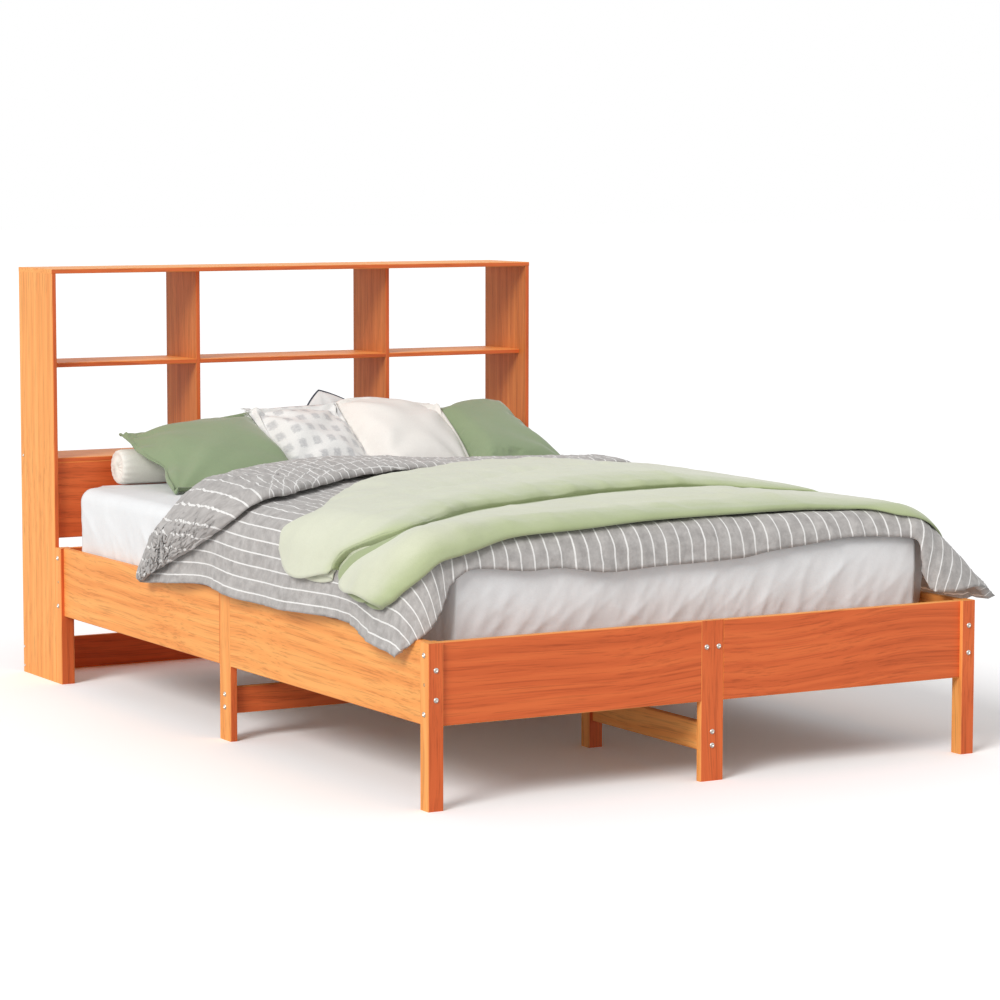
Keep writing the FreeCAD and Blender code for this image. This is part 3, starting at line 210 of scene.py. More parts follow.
def board_wood(name, grain, place, stained=True, lit_stain=SIDE_LIT_STAIN):
    """Wood whose fibres run along one axis, cut from its own place in the log.

    Rings are noise and bands stretched seventeen times along the grain, pores are a finer
    noise stretched fifty-five times, and all bend with a slow wave. Faces that turn to the
    sides, up or down carry painted light: they get a paler copy of the stain, and the
    fronts and backs keep the darker one.
    """
    material = bpy.data.materials.new("wood_" + name)
    wood = Nodes(material)
    coords = wood.add("ShaderNodeTexCoord")
    turn = {0: (0, 0, 0), 1: (0, 0, -math.pi / 2), 2: (0, math.pi / 2, 0)}[grain]
    placed = wood.add("ShaderNodeMapping", {"Vector": coords.outputs["Object"], "Location": place,
                                            "Rotation": turn})
    slow = wood.add("ShaderNodeTexNoise", {"Vector": placed.outputs[0], "Scale": 1.3, "Detail": 1.0})
    bend = wood.add("ShaderNodeVectorMath", {0: slow.outputs["Color"], 1: (0.0, 0.09, 0.09)},
                    operation="MULTIPLY")
    bent = wood.add("ShaderNodeVectorMath", {0: placed.outputs[0], 1: bend.outputs[0]})
    long_way = wood.add("ShaderNodeVectorMath", {0: bent.outputs[0], 1: (RING_SQUEEZE, 1, 1)},
                        operation="MULTIPLY")
    rings = wood.add("ShaderNodeTexNoise", {"Vector": long_way.outputs[0], "Scale": 26.0,
                                            "Detail": 5.0, "Roughness": 0.62})
    bands = wood.add("ShaderNodeTexWave", {"Vector": long_way.outputs[0], "Scale": 9.0,
                                           "Distortion": 7.0, "Detail": 3.0, "Detail Scale": 2.2},
                     wave_type="BANDS", bands_direction="Z" if grain != 2 else "Y")
    thin = wood.add("ShaderNodeVectorMath", {0: bent.outputs[0], 1: (PORE_SQUEEZE, 1, 1)},
                    operation="MULTIPLY")
    pores = wood.add("ShaderNodeTexNoise", {"Vector": thin.outputs[0], "Scale": 210.0, "Detail": 3.0,
                                            "Roughness": 0.7})
    tone = wood.math("MULTIPLY_ADD", bands.outputs["Fac"], 0.30, wood.math(
        "MULTIPLY_ADD", rings.outputs["Fac"], 0.95, -0.14))
    # Painted light: faces turned to the sides, up or down get the paler stain, fronts and backs the darker
    # one.
    normal = wood.add("ShaderNodeSeparateXYZ", {0: coords.outputs["Normal"]})
    lit_share = wood.math("MAXIMUM", wood.math("ABSOLUTE", normal.outputs[0]),
                         wood.math("ABSOLUTE", normal.outputs[2]))
    lit_share = wood.math("MULTIPLY_ADD", lit_share, 3.2, -1.6)
    lit_share = wood.math("MINIMUM", wood.math("MAXIMUM", lit_share, 0.0), 1.0)
    if stained:
        colour = wood.mix(lit_share, wood.ramp(tone, FACE_STAIN), wood.ramp(tone, lit_stain))
    else:
        colour = wood.ramp(tone, RAW_TIMBER)
    deep = wood.ramp(pores.outputs["Fac"], ((0.33, (0.66, 0.60, 0.56, 1)), (0.50, (1, 1, 1, 1))))
    colour = wood.mix(0.75, colour, deep, blend="MULTIPLY")
    relief = wood.add("ShaderNodeBump", {"Height": wood.math(
        "ADD", pores.outputs["Fac"], wood.math("MULTIPLY", rings.outputs["Fac"], 0.6)),
        "Strength": 0.22, "Distance": 0.0008})
    shine = wood.math("MULTIPLY_ADD", pores.outputs["Fac"], -0.12, 0.56)
    surface = wood.add("ShaderNodeBsdfPrincipled", {
        "Base Color": colour, "Roughness": shine, "Normal": relief.outputs[0],
        "Specular IOR Level": 0.32,
    })
    wood.add("ShaderNodeOutputMaterial", {"Surface": surface.outputs[0]})
    return material


for number, name in enumerate(sorted(nodes)):
    grains = [grain for grain, kinds in GRAIN_AXES.items() if any(name.endswith(kind) for kind in kinds)]
    if not grains:
        continue
    grain = 1 if name in LENGTHWAYS else grains[0]
    # Each board comes from its own place in the log.
    place = (0.61 * number, 0.37 * number + 0.05, 0.83 * number)
    stained = not any(name.endswith(kind) for kind in UNSTAINED)
    # Painted shade: the dividers and the right side panel stand in the bookcase's shade, so their sides take
    # a darker copy of the stain.
    deep = any(name.endswith(kind) for kind in SHADED_INSIDE)
    nodes[name].data.materials.clear()
    nodes[name].data.materials.append(board_wood(name, grain, place, stained,
                                                 SHADED_INSIDE_STAIN if deep else SIDE_LIT_STAIN))

# ---------------------------------------------------------------- bolts, screws and dowels
# Domed steel bolts with a key socket hold the legs to the rails, and cross dowels take the
# ones in the stretchers. Steel screws close the bookcase, and a beech dowel sits in each leg.
BOLT_HEAD, BOLT_HEIGHT, BOLT_SHANK = 0.0062, 0.0032, 0.003
BOLT_REACH = 0.033
BOLT_SOCKET, SCREW_SOCKET = 0.002, 0.00125
DOWEL_LENGTH, DOWEL_RADIUS = 0.067, 0.004
TURNED_SIDES = 36
END_BOLT_MARGIN = 0.027
SIDE_BOLT_SPACING = 0.064
BEARER_BOLT_SPACING = 0.032
STRETCHER_BOLT_SPACING = 0.031
SCREW_MARGIN = 0.018


def plain_steel(name, colour, roughness, scratches):
    """Steel with fine lines: noise stretched by the factors in scratches breaks up its gloss."""
    material = bpy.data.materials.new(name)
    steel = Nodes(material)
    coords = steel.add("ShaderNodeTexCoord")
    stretched = steel.add("ShaderNodeMapping", {"Vector": coords.outputs["Object"], "Scale": scratches})
    marks = steel.add("ShaderNodeTexNoise", {"Vector": stretched.outputs[0], "Scale": 600.0,
                                             "Detail": 2.0})
    gloss = steel.math("MULTIPLY_ADD", marks.outputs["Fac"], 0.18, roughness - 0.09)
    relief = steel.add("ShaderNodeBump", {"Height": marks.outputs["Fac"], "Strength": 0.1,
                                          "Distance": 0.0002})
    surface = steel.add("ShaderNodeBsdfPrincipled", {
        "Base Color": colour, "Metallic": 1.0, "Roughness": gloss, "Normal": relief.outputs[0]})
    steel.add("ShaderNodeOutputMaterial", {"Surface": surface.outputs[0]})
    return material


def turned(places, profile, socket):
    """Turned pieces: one profile of (radius, height) carried round each seat's own axis.

    A radius marked as hexagonal is a multiple of a hexagon's, which is the socket's half width
    over the cosine of the angle from the middle of its nearest flat.
    """
    angle = np.linspace(0, 2 * np.pi, TURNED_SIDES, endpoint=False)
    flat = socket / np.cos((angle + np.pi / 6) % (np.pi / 3) - np.pi / 6)
    rows = []
    for radius, height, hexagonal in profile:
        reach = flat * radius if hexagonal else radius + 0 * angle
        rows.append(np.stack([reach * np.cos(angle), reach * np.sin(angle), height + 0 * angle], axis=-1))
    local = np.array(rows)
    side = np.array([0.0, 0.0, 1.0])
    points = []
    for seat, direction in places:
        axis = np.array(direction, float)
        body = local[..., :1] * side + local[..., 1:2] * np.cross(axis, side) + local[..., 2:] * axis
        points.append(body + np.array(seat))
    quads = grid_faces(len(profile), TURNED_SIDES, closed_columns=True)[:, ::-1]
    starts = np.arange(len(places)) * len(profile) * TURNED_SIDES
    return np.array(points), (quads[None] + starts[:, None, None]).reshape(-1, 4)


def bolt_profile(length):
    """A bolt's (radius, height) from its tip to its seat, over its dome and into its socket.

    The dome's radius is the head's times the root of 1 - (0.86 share)^2, and over the top
    fifth of its height it closes in along a straight line.
    """
    rows = [(1e-5, -length, False), (BOLT_SHANK, -length, False), (BOLT_SHANK, 0, False),
            (BOLT_HEAD * 0.97, 0, False)]
    for share in (0.0, 0.2, 0.4, 0.6, 0.8, 0.95):
        rounded = BOLT_HEAD * math.sqrt(1 - (0.86 * share) ** 2)
        closing = BOLT_HEAD * (0.72 - 1.35 * (share - 0.8))
        rows.append((rounded if share < 0.8 else closing, BOLT_HEIGHT * (0.12 + 0.88 * share), False))
    return rows + [(1.12, BOLT_HEIGHT, True), (1.0, BOLT_HEIGHT * 0.96, True),
                   (1.0, BOLT_HEIGHT * 0.35, True), (0.02, BOLT_HEIGHT * 0.3, True)]


def add_turned(name, places, profile, material, socket=BOLT_SOCKET):
    """One object made of turned pieces that stands for a CAD node's own."""
    points, faces = turned(places, profile, socket)
    piece = new_mesh(name + "_turned", points, faces, material)
    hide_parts(name)
    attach(piece, "root")


def mirrored(places):
    """Each (seat, outward) given for one side, with its mirror image on the other side."""
    return places + [((-seat[0], seat[1], seat[2]), (-out[0], out[1], out[2])) for seat, out in places]


def middle(name, axis):
    """The middle of a node's box along one axis."""
    low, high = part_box(name)
    return (low[axis] + high[axis]) / 2


bolt_steel = plain_steel("bolt_steel", (0.66, 0.62, 0.57, 1), 0.34, (1.0, 1.0, 0.3))
bracket_steel = plain_steel("bracket_steel", (0.60, 0.60, 0.60, 1), 0.42, (0.2, 0.2, 1.0))
half_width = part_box("foot_right_leg")[1][0]
leg_side = half_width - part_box("foot_right_leg")[0][0]
mid_leg_low, mid_leg_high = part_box("foot_mid_leg")
rail_low, rail_high = [corner[2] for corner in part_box("foot_left_end_rail")]
rail_middle = (rail_low + rail_high) / 2
stretcher_heights = [middle("foot_stretcher", 2) + way * STRETCHER_BOLT_SPACING / 2 for way in (1, -1)]
bearer_middle = middle("foot_centre_bearer", 2)
end_places, side_places, mid_places, dowel_places = [], [], [], []
for end, face, outward in (("foot", 0, (0, -1, 0)), ("head", 1, (0, 1, 0))):
    leg, mid_leg = end + "_right_leg", end + "_mid_leg"
    leg_face, mid_leg_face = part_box(leg)[face][1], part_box(mid_leg)[face][1]
    end_places += [((half_width, middle(leg, 1), height), (1, 0, 0))
                   for height in (rail_high - END_BOLT_MARGIN, rail_low + END_BOLT_MARGIN)]
    side_places += [((middle(leg, 0), leg_face, rail_middle + way * SIDE_BOLT_SPACING / 2), outward)
                    for way in (1, -1)]
    dowel_places.append(((half_width, middle(leg, 1), rail_middle), (1, 0, 0)))
    mid_places += [((0.0, mid_leg_face, height), outward) for height in stretcher_heights]
    mid_places += [((way * BEARER_BOLT_SPACING / 2, mid_leg_face, bearer_middle), outward)
                   for way in (-1, 1)]
mid_places += mirrored([((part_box("right_mid_leg")[1][0], middle("right_mid_leg", 1), height), (1, 0, 0))
                        for height in stretcher_heights])
frame_bolt = bolt_profile(leg_side + BOLT_REACH)
short_bolt = bolt_profile(mid_leg_high[1] - mid_leg_low[1] + BOLT_REACH)
for name, places, profile in (("end_rail_bolts", mirrored(end_places), frame_bolt),
                              ("side_rail_bolts", mirrored(side_places), frame_bolt),
                              ("mid_leg_bolts", mid_places, short_bolt)):
    add_turned(name, places, profile, bolt_steel)

screw_profile = [(1e-5, -0.034, False), (0.0014, -0.031, False), (0.002, -0.028, False),
                 (0.002, 0, False), (0.0038, 0, False), (0.004, 0.0004, False),
                 (0.0037, 0.0012, False), (0.0028, 0.0016, False), (1.12, 0.0016, True),
                 (1.0, 0.0015, True), (1.0, 0.0006, True), (0.02, 0.0005, True)]
base_rail_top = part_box("base_rail")[1][2]
panel_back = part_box("right_side_panel")[1][1]
screw_seats = ((half_width, middle("base_rail", 1), SCREW_MARGIN),
               (half_width, middle("base_rail", 1), base_rail_top - SCREW_MARGIN),
               (half_width, panel_back - SCREW_MARGIN, middle("lower_shelf", 2)))
add_turned("bookcase_screws", mirrored([(seat, (1, 0, 0)) for seat in screw_seats]), screw_profile,
           bolt_steel, socket=SCREW_SOCKET)

dowel_wood = board_wood("dowels", 0, (0.3, 0.2, 0.9), stained=False)
dowel_profile = [(1e-5, -DOWEL_LENGTH, False), (0.0034, -DOWEL_LENGTH, False),
                 (DOWEL_RADIUS, 0.0015 - DOWEL_LENGTH, False), (DOWEL_RADIUS, -0.0006, False),
                 (0.0036, 0.0, False), (1e-5, 0.0, False)]
add_turned("leg_dowels", mirrored(dowel_places), dowel_profile, dowel_wood)
for name, metal in (("cross_dowels", bolt_steel), ("corner_brackets", bracket_steel)):
    nodes[name].data.materials.clear()
    nodes[name].data.materials.append(metal)

# ---------------------------------------------------------------- mattress
# A sprung mattress in a white fitted cotton sheet. The sheet is drawn under it, which
# leaves slanting creases in its sides.
MATTRESS_EDGE, MATTRESS_CORNER = 0.034, 0.045
CREASE_DEPTH, CREASE_SLANT = 0.0085, -0.62
MATTRESS_BELLY = 0.004
TOP_WEAR = 0.0035


def cloth(name, colour, weave=900.0, depth=0.25, sheen=0.25, roughness=0.85, pattern=None):
    """Woven cloth: fine noise for its threads, a coarser one for its crumple, a slow one for wear.

    Its relief is the crumple plus an eighth of the threads. pattern takes the material's nodes and
    the plain colour, and gives the colour to use.
    """
    material = bpy.data.materials.new(name)
    woven = Nodes(material)
    coords = woven.add("ShaderNodeTexCoord")
    cloudy = woven.add("ShaderNodeTexNoise", {"Vector": coords.outputs["Object"], "Scale": 7.0,
                                              "Detail": 5.0, "Roughness": 0.6})
    shade = woven.ramp(cloudy.outputs["Fac"], ((0.3, (0.93, 0.93, 0.93, 1)), (0.7, (1, 1, 1, 1))))
    fuzz = woven.add("ShaderNodeTexNoise", {"Vector": coords.outputs["Object"], "Scale": weave,
                                            "Detail": 2.0})
    threads = woven.ramp(fuzz.outputs["Fac"], ((0.35, (0.90, 0.90, 0.90, 1)), (0.65, (1, 1, 1, 1))))
    plain_colour = woven.mix(1.0, colour, shade, blend="MULTIPLY")
    if pattern:
        plain_colour = pattern(woven, plain_colour)
    final = woven.mix(0.8, plain_colour, threads, blend="MULTIPLY")
    crumple = woven.add("ShaderNodeTexNoise", {"Vector": coords.outputs["Object"], "Scale": 38.0,
                                               "Detail": 4.0, "Roughness": 0.55})
    height = woven.math("MULTIPLY_ADD", fuzz.outputs["Fac"], 0.12, crumple.outputs["Fac"])
    relief = woven.add("ShaderNodeBump", {"Height": height, "Strength": depth, "Distance": 0.004})
    surface = woven.add("ShaderNodeBsdfPrincipled", {
        "Base Color": final, "Roughness": roughness, "Normal": relief.outputs[0],
        "Sheen Weight": sheen, "Sheen Roughness": 0.5, "Specular IOR Level": 0.2,
    })
    woven.add("ShaderNodeOutputMaterial", {"Surface": surface.outputs[0]})
    return material


def round_box(low, high, corner, edge, around=820, up=56, inner=14):
    """A box with round upright corners and round edges, as rings from its base to its top.

    The outline is a rectangle with quarter circles at its corners, its points spread by a
    superellipse of the ninth power. A ring's outline draws in by the edge's own quarter circle
    at the base and the top, and the two flat faces are rings that shrink to the line down the
    middle. The outward way of each point comes with it.
    """
    centre = (np.array(low) + np.array(high)) / 2
    half = (np.array(high) - np.array(low)) / 2
    turn = np.linspace(0, 1, around, endpoint=False) * 2 * np.pi
    side_x, side_y = np.cos(turn), np.sin(turn)
    power = 9.0
    reach = (np.abs(side_x) ** power + np.abs(side_y) ** power) ** (-1 / power)
    x, y = reach * side_x * half[0], reach * side_y * half[1]
    inside_x = np.clip(x, corner - half[0], half[0] - corner)
    inside_y = np.clip(y, corner - half[1], half[1] - corner)
    out = np.stack([x - inside_x, y - inside_y], axis=-1)
    size = np.linalg.norm(out, axis=1, keepdims=True)
    out = out / np.maximum(size, 1e-9)
    outline = np.stack([inside_x, inside_y], axis=-1) + out * corner
    quarter = np.linspace(0, np.pi / 2, 9)
    wall = np.linspace(-half[2] + edge, half[2] - edge, up)
    heights = np.concatenate([-half[2] + edge * (1 - np.sin(quarter[::-1])), wall[1:-1],
                              half[2] - edge * (1 - np.sin(quarter))])
    drawn = np.concatenate([edge * (1 - np.cos(quarter[::-1])), 0 * wall[1:-1],
                            edge * (1 - np.cos(quarter))])
    rings = outline[None] - out[None] * drawn[:, None, None]
    rings = np.concatenate([rings, np.broadcast_to(heights[:, None, None], rings.shape[:2] + (1,))], -1)
    spine = np.stack([0 * x, np.clip(outline[:, 1], half[0] - half[1], half[1] - half[0])], axis=-1)
    share = np.linspace(0, 1, inner + 1)[1:, None, None] ** 0.8

    def cap(ring):
        """The flat face inside a ring: rings that shrink to the middle line."""
        flat = ring[None, :, :2] + share * (spine - ring[:, :2])[None]
        return np.concatenate([flat, np.full(flat.shape[:2] + (1,), ring[0, 2])], axis=-1)

    points = np.concatenate([cap(rings[0])[::-1], rings, cap(rings[-1])])
    outward = np.zeros_like(points)
    outward[inner:-inner, :, :2] = out
    return points + centre, outward


def ripples(a, b, seed, count, long_wave, short_wave, slant=0.0):
    """Soft creases: a sum of slanted ridges, each with an envelope that comes and goes.

    A ridge is (1 - |sin(pi run / wave)|)^2.2 along its own way, times the wave's share of the
    longest, and the sum is divided by the root of the count.
    """
    draw = np.random.default_rng(seed)
    total = 0 * a
    for _ in range(count):
        wave = draw.uniform(short_wave, long_wave)
        angle = slant + draw.normal(0, 0.28)
        phase, fade = draw.uniform(0, 2 * np.pi, 2)
        run = a * np.cos(angle) + b * np.sin(angle)
        side = -a * np.sin(angle) + b * np.cos(angle)
        envelope = 0.5 + 0.5 * np.sin(side * 2 * np.pi / (wave * 3.7) + fade)
        ridge = 1 - np.abs(np.sin(run * np.pi / wave + phase))
        total = total + envelope * ridge ** 2.2 * wave / long_wave
    return total / math.sqrt(count)


mattress_low, mattress_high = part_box("mattress")
points, outward = round_box(mattress_low, mattress_high, MATTRESS_CORNER, MATTRESS_EDGE)
height_share = (points[..., 2] - mattress_low[2]) / (mattress_high[2] - mattress_low[2])
run = np.where(np.abs(outward[..., 1]) > 0.7, points[..., 0], points[..., 1])
creases = ripples(run, points[..., 2] * 0.9, 5, 12, 0.105, 0.045, slant=CREASE_SLANT)
creases += 0.35 * ripples(run, points[..., 2] * 0.9, 6, 7, 0.12, 0.04, slant=0.75)
strength = CREASE_DEPTH * np.clip(1.2 - height_share, 0, 1) * np.clip(6 * height_share, 0, 1)
belly = MATTRESS_BELLY * np.sin(np.pi * np.clip(height_share, 0, 1))
points = points + outward * (belly + strength * (creases - 0.9))[..., None]
top_creases = ripples(points[..., 0], points[..., 1], 8, 8, 0.5, 0.16, slant=0.9)
points[..., 2] -= TOP_WEAR * top_creases * (height_share > 0.985)
sheet_cloth = cloth("white_sheet", (0.875, 0.885, 0.895, 1), depth=0.22, sheen=0.15)
mattress = new_mesh("mattress_in_sheet", points, grid_faces(*points.shape[:2], closed_columns=True),
                    sheet_cloth)
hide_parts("mattress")
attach(mattress, "root")
bed_top = float(mattress_high[2])

# ---------------------------------------------------------------- duvet
# A filled quilt in a warm grey cotton cover with thin white stripes down its length. It hangs
# over both rails and the foot, and its head edge is turned back in a slanting flap.
DUVET_TOP_HALF = 0.640
DUVET_TOP_FOOT = 1.015
DUVET_LEVEL = bed_top + 0.040
SIDE_ROUND, SIDE_FLARE = 0.085, math.radians(12)
FOOT_ROUND, FOOT_FLARE = 0.062, math.radians(7)
CORNER_ROUND, CORNER_FLARE = 0.075, math.radians(35)
CORNER_IN, CORNER_RISE = 0.075, 0.006
CORNER_PLACE, CORNER_LENGTH = -1.09, 0.19
FOLD_LENGTH, FOLD_DEPTH = 0.37, 0.008
CROWN_HEIGHT = 0.012


def over_the_bed(across, along):
    """Where flat cloth comes to lie on the bed: across and along are its own measures.

    Past the flat top, the way that a point lies beyond the edge, sideways and footwards, has a
    length and a direction. The cloth follows a round edge of that length in that direction and
    then hangs straight, a little outwards, so at a corner it makes part of a cone. The right
    foot corner starts farther in and flares wide. The hanging sides go in and out by a sine,
    and the top is crowned by a cosine.
    """
    near_right = np.exp(-((along - CORNER_PLACE) / CORNER_LENGTH) ** 2) * (across > 0)
    half = DUVET_TOP_HALF - CORNER_IN * near_right
    beyond_side = np.clip(np.abs(across) - half, 0, None)
    beyond_foot = np.clip(-along - DUVET_TOP_FOOT, 0, None)
    reach = np.hypot(beyond_side, beyond_foot)
    turn = np.arctan2(beyond_foot, beyond_side)
    footward = np.sin(turn) ** 2
    side_round = SIDE_ROUND + CORNER_ROUND * near_right
    radius = side_round + (FOOT_ROUND - side_round) * footward
    side_flare = SIDE_FLARE + CORNER_FLARE * near_right
    flare = side_flare + (FOOT_FLARE - side_flare) * footward
    arc = np.minimum(reach, radius * (np.pi / 2 - flare))
    past = reach - arc
    out = radius * np.sin(arc / radius) + past * np.sin(flare)
    drop = radius * (1 - np.cos(arc / radius)) + past * np.cos(flare)
    folds = np.sin(along * 2 * np.pi / FOLD_LENGTH + 0.8 * across + 1.1 * np.sin(along * 3.1))
    out = out + FOLD_DEPTH * folds * np.clip(beyond_side / 0.25, 0, 1.2) ** 1.5
    x = np.sign(across) * (np.minimum(np.abs(across), half) + out * np.cos(turn))
    y = np.maximum(along, -DUVET_TOP_FOOT) - out * np.sin(turn)
    rise = CORNER_RISE * near_right * np.clip((np.abs(across) - 0.448) / 0.128, 0, 1)
    top = DUVET_LEVEL + rise + CROWN_HEIGHT * np.cos(2.2 * x) + 0.004 * np.sin(3.0 * y + 1.2)
    return np.stack([x, y, top - drop], axis=-1)


def outward_of(surface, across, along, step=0.004):
    """The surface's outward direction: the cross product of its two slopes."""
    slope_across = surface(across + step, along) - surface(across - step, along)
    slope_along = surface(across, along + step) - surface(across, along - step)
    normal = np.cross(slope_across, slope_along)
    return normal / np.maximum(np.linalg.norm(normal, axis=-1, keepdims=True), 1e-12)


def through(places, table):
    """A smooth curve through (place, value) pairs.

    Between two pairs it is the cubic whose slope at each is that of the line between the
    pair's two neighbours.
    """
    table = np.array(table)
    index = np.clip(np.searchsorted(table[:, 0], places) - 1, 0, len(table) - 2)
    share = np.clip((places - table[index, 0]) / (table[index + 1, 0] - table[index, 0]), 0, 1)
    value = np.concatenate([table[:1, 1], table[:, 1], table[-1:, 1]])
    place = np.concatenate([table[:1, 0] - 1, table[:, 0], table[-1:, 0] + 1])
    slope = (value[2:] - value[:-2]) / (place[2:] - place[:-2])
    width = table[index + 1, 0] - table[index, 0]
    low, high = table[index, 1], table[index + 1, 1]
    return ((2 * share ** 3 - 3 * share ** 2 + 1) * low + (share ** 3 - 2 * share ** 2 + share) * width
            * slope[index] + (3 * share ** 2 - 2 * share ** 3) * high
            + (share ** 3 - share ** 2) * width * slope[index + 1])


# The cloth's own edges by its place across: how far along the bed its head fold and its flap
# reach, and how far it hangs at the foot. SIDE_HANG is how far it hangs by its place along.
HEAD_EDGE = ((-0.925, 0.300), (-0.880, 0.285), (-0.840, 0.262), (-0.795, 0.215), (-0.744, 0.150),
             (-0.690, 0.118), (-0.600, 0.188), (-0.513, 0.268), (-0.420, 0.335), (-0.333, 0.380),
             (-0.168, 0.420), (0.027, 0.445), (0.240, 0.445), (0.500, 0.430), (0.925, 0.390))
FLAP_EDGE = ((-0.925, 0.275), (-0.900, 0.225), (-0.882, 0.139), (-0.837, 0.013), (-0.783, -0.107),
             (-0.720, -0.205), (-0.621, -0.205), (-0.530, -0.140), (-0.444, -0.060), (-0.340, 0.020),
             (-0.240, 0.097), (-0.084, 0.175), (0.050, 0.225), (0.240, 0.255), (0.500, 0.275),
             (0.925, 0.290))
FOOT_HANG = ((-0.925, 0.067), (-0.879, 0.118), (-0.846, 0.142), (-0.825, 0.160), (-0.765, 0.181),
             (-0.700, 0.172), (-0.660, 0.150), (-0.620, 0.112), (-0.576, 0.097), (-0.444, 0.112),
             (-0.363, 0.112), (-0.246, 0.130), (-0.129, 0.127), (0.108, 0.121), (0.195, 0.109),
             (0.309, 0.097), (0.426, 0.085), (0.570, 0.097), (0.620, 0.108), (0.640, 0.150),
             (0.660, 0.190), (0.684, 0.208), (0.762, 0.181), (0.820, 0.130), (0.867, 0.088),
             (0.925, 0.050))
SIDE_HANG = ((-1.300, 0.285), (-1.080, 0.284), (-0.986, 0.277), (-0.923, 0.269), (-0.803, 0.246),
             (-0.602, 0.248), (-0.452, 0.257), (-0.290, 0.260), (-0.059, 0.251), (0.172, 0.269),
             (0.304, 0.284), (0.450, 0.280))
CLOTH_HALF = 0.925
ACROSS_STEPS, LOWER_STEPS, TURN_STEPS, UPPER_STEPS = 280, 160, 10, 100
HEM_ROUND = 0.018
DUVET_FILL, FLAP_FILL, FLAP_SWELL = 0.020, 0.013, 0.020
THINNEST_FILL = 0.006

# The path goes from the foot hem, 0, to the head fold, 1, round it to 2, and back over the
# cloth to the flap's edge, 3. To the right the flap lies flatter.
across_share = np.linspace(-1, 1, ACROSS_STEPS)
path = np.concatenate([np.linspace(0, 1, LOWER_STEPS), np.linspace(1, 2, TURN_STEPS)[1:],
                       np.linspace(2, 3, UPPER_STEPS)[1:]])
share_grid, path_grid = np.meshgrid(across_share, path, indexing="ij")
nominal = share_grid * CLOTH_HALF
head = through(nominal, HEAD_EDGE)
flap = np.minimum(through(nominal, FLAP_EDGE), head - 0.010)
foot = -DUVET_TOP_FOOT - through(nominal, FOOT_HANG)
lying = np.clip((nominal + 0.20) / 0.45, 0, 1)
lying = lying * lying * (3 - 2 * lying)
bend = np.minimum(0.006 - 0.003 * lying, 0.25 * (head - flap))
lower = np.clip(path_grid, 0, 1)
turning = np.clip(path_grid - 1, 0, 1)
upper = np.clip(path_grid - 2, 0, 1)
along = foot + (head - bend - foot) * lower
along = np.where(path_grid > 1, head - bend + bend * np.sin(np.pi * turning), along)
along = np.where(path_grid > 2, head - bend + (flap - head + bend) * upper, along)
rise = np.where(path_grid > 1, bend * (1 - np.cos(np.pi * turning)), 0)
hang = through(along, SIDE_HANG) / (CLOTH_HALF - DUVET_TOP_HALF)
across = np.where(np.abs(nominal) > DUVET_TOP_HALF,
                  np.sign(nominal) * (DUVET_TOP_HALF + (np.abs(nominal) - DUVET_TOP_HALF) * hang), nominal)
base = over_the_bed(across, along)
normal = outward_of(over_the_bed, across, along)

# Puffs of three sizes all over, then gathers at the flap's left corner, puckers along the
# side hems, which are slight under the flap's flat end, and creases in the foot strip.
puff = 0.0080 * ripples(across, along, 11, 10, 0.30, 0.10, slant=0.5)
puff += 0.0060 * ripples(across, along, 12, 12, 0.11, 0.035, slant=1.3)
puff += 0.0030 * ripples(across, along, 19, 14, 0.05, 0.018, slant=0.2)
gathered = np.exp(-((across + 0.80) / 0.13) ** 2 - ((along - 0.20) / 0.17) ** 2)
crumple = ripples(across, along, 13, 12, 0.100, 0.042, slant=0.9)
puff += gathered * 0.015 * (crumple - 0.8)
hem_pucker = np.clip(np.abs(across) - 0.79, 0, 0.10) / 0.10
hem_pucker *= 0.012 - 0.010 * lying * np.clip((along + 0.05) / 0.20, 0, 1)
puff += hem_pucker * (ripples(along, across * 0.2, 14, 12, 0.07, 0.024) - 0.7)
foot_face = np.clip((-along - DUVET_TOP_FOOT) / 0.06, 0, 1) * (np.abs(across) < DUVET_TOP_HALF + 0.05)
puff += foot_face * 0.009 * (ripples(across, along * 0.4, 15, 10, 0.10, 0.035) - 0.7)
outer = base + normal * (rise + puff)[..., None]
cloth_along = np.where(path_grid > 1.5, 2 * head - along, along)

# The filling thins out toward every hem in a quarter circle, and the flap swells in its middle.
edge_share = (1 - np.abs(share_grid)) * CLOTH_HALF
edge_path = np.minimum(path_grid * 1.5, (3 - path_grid) * (head - flap))
near_edge = np.clip(np.minimum(edge_share, edge_path) / HEM_ROUND, 0, 1)
band_width = np.clip((head - flap) / 0.30, 0, 1)
flap_full = FLAP_FILL - 0.006 * lying
flap_full = flap_full + FLAP_SWELL * (1 - 0.8 * lying) * band_width * np.sin(np.pi * upper ** 0.8) ** 0.7
band_creases = ripples(across, along, 16, 12, 0.20, 0.055, slant=1.0)
flap_full = flap_full + upper ** 0.5 * 0.010 * (1 - 0.6 * lying) * (band_creases - 0.5)
filling = np.where(path_grid > 2, flap_full, DUVET_FILL + (flap_full - DUVET_FILL) * turning)
thickness = np.clip(filling, THINNEST_FILL, None) * np.sqrt(1 - (1 - near_edge) ** 2)
slopes = np.cross(np.gradient(outer, axis=0), np.gradient(outer, axis=1))
slopes /= np.maximum(np.linalg.norm(slopes, axis=-1, keepdims=True), 1e-12)
inner = outer - slopes * thickness[..., None]
points = np.stack([outer, inner])


def shell_faces(rows, columns):
    """Quads of two grids that lie face to face and meet along their rims.

    The second grid's points come after all of the first's, and its quads turn the other way.
    """
    outer_faces = grid_faces(rows, columns)
    inner_faces = grid_faces(rows, columns)[:, ::-1] + rows * columns
    count = rows * columns
    index = np.arange(count).reshape(rows, columns)
    rim = np.concatenate([index[:, 0], index[-1, 1:], index[-2::-1, -1], index[0, -2:0:-1]])
    after = np.roll(rim, -1)
    rim_faces = np.stack([rim, after, after + count, rim + count], axis=1)[:, ::-1]
    return np.concatenate([outer_faces, inner_faces, rim_faces])


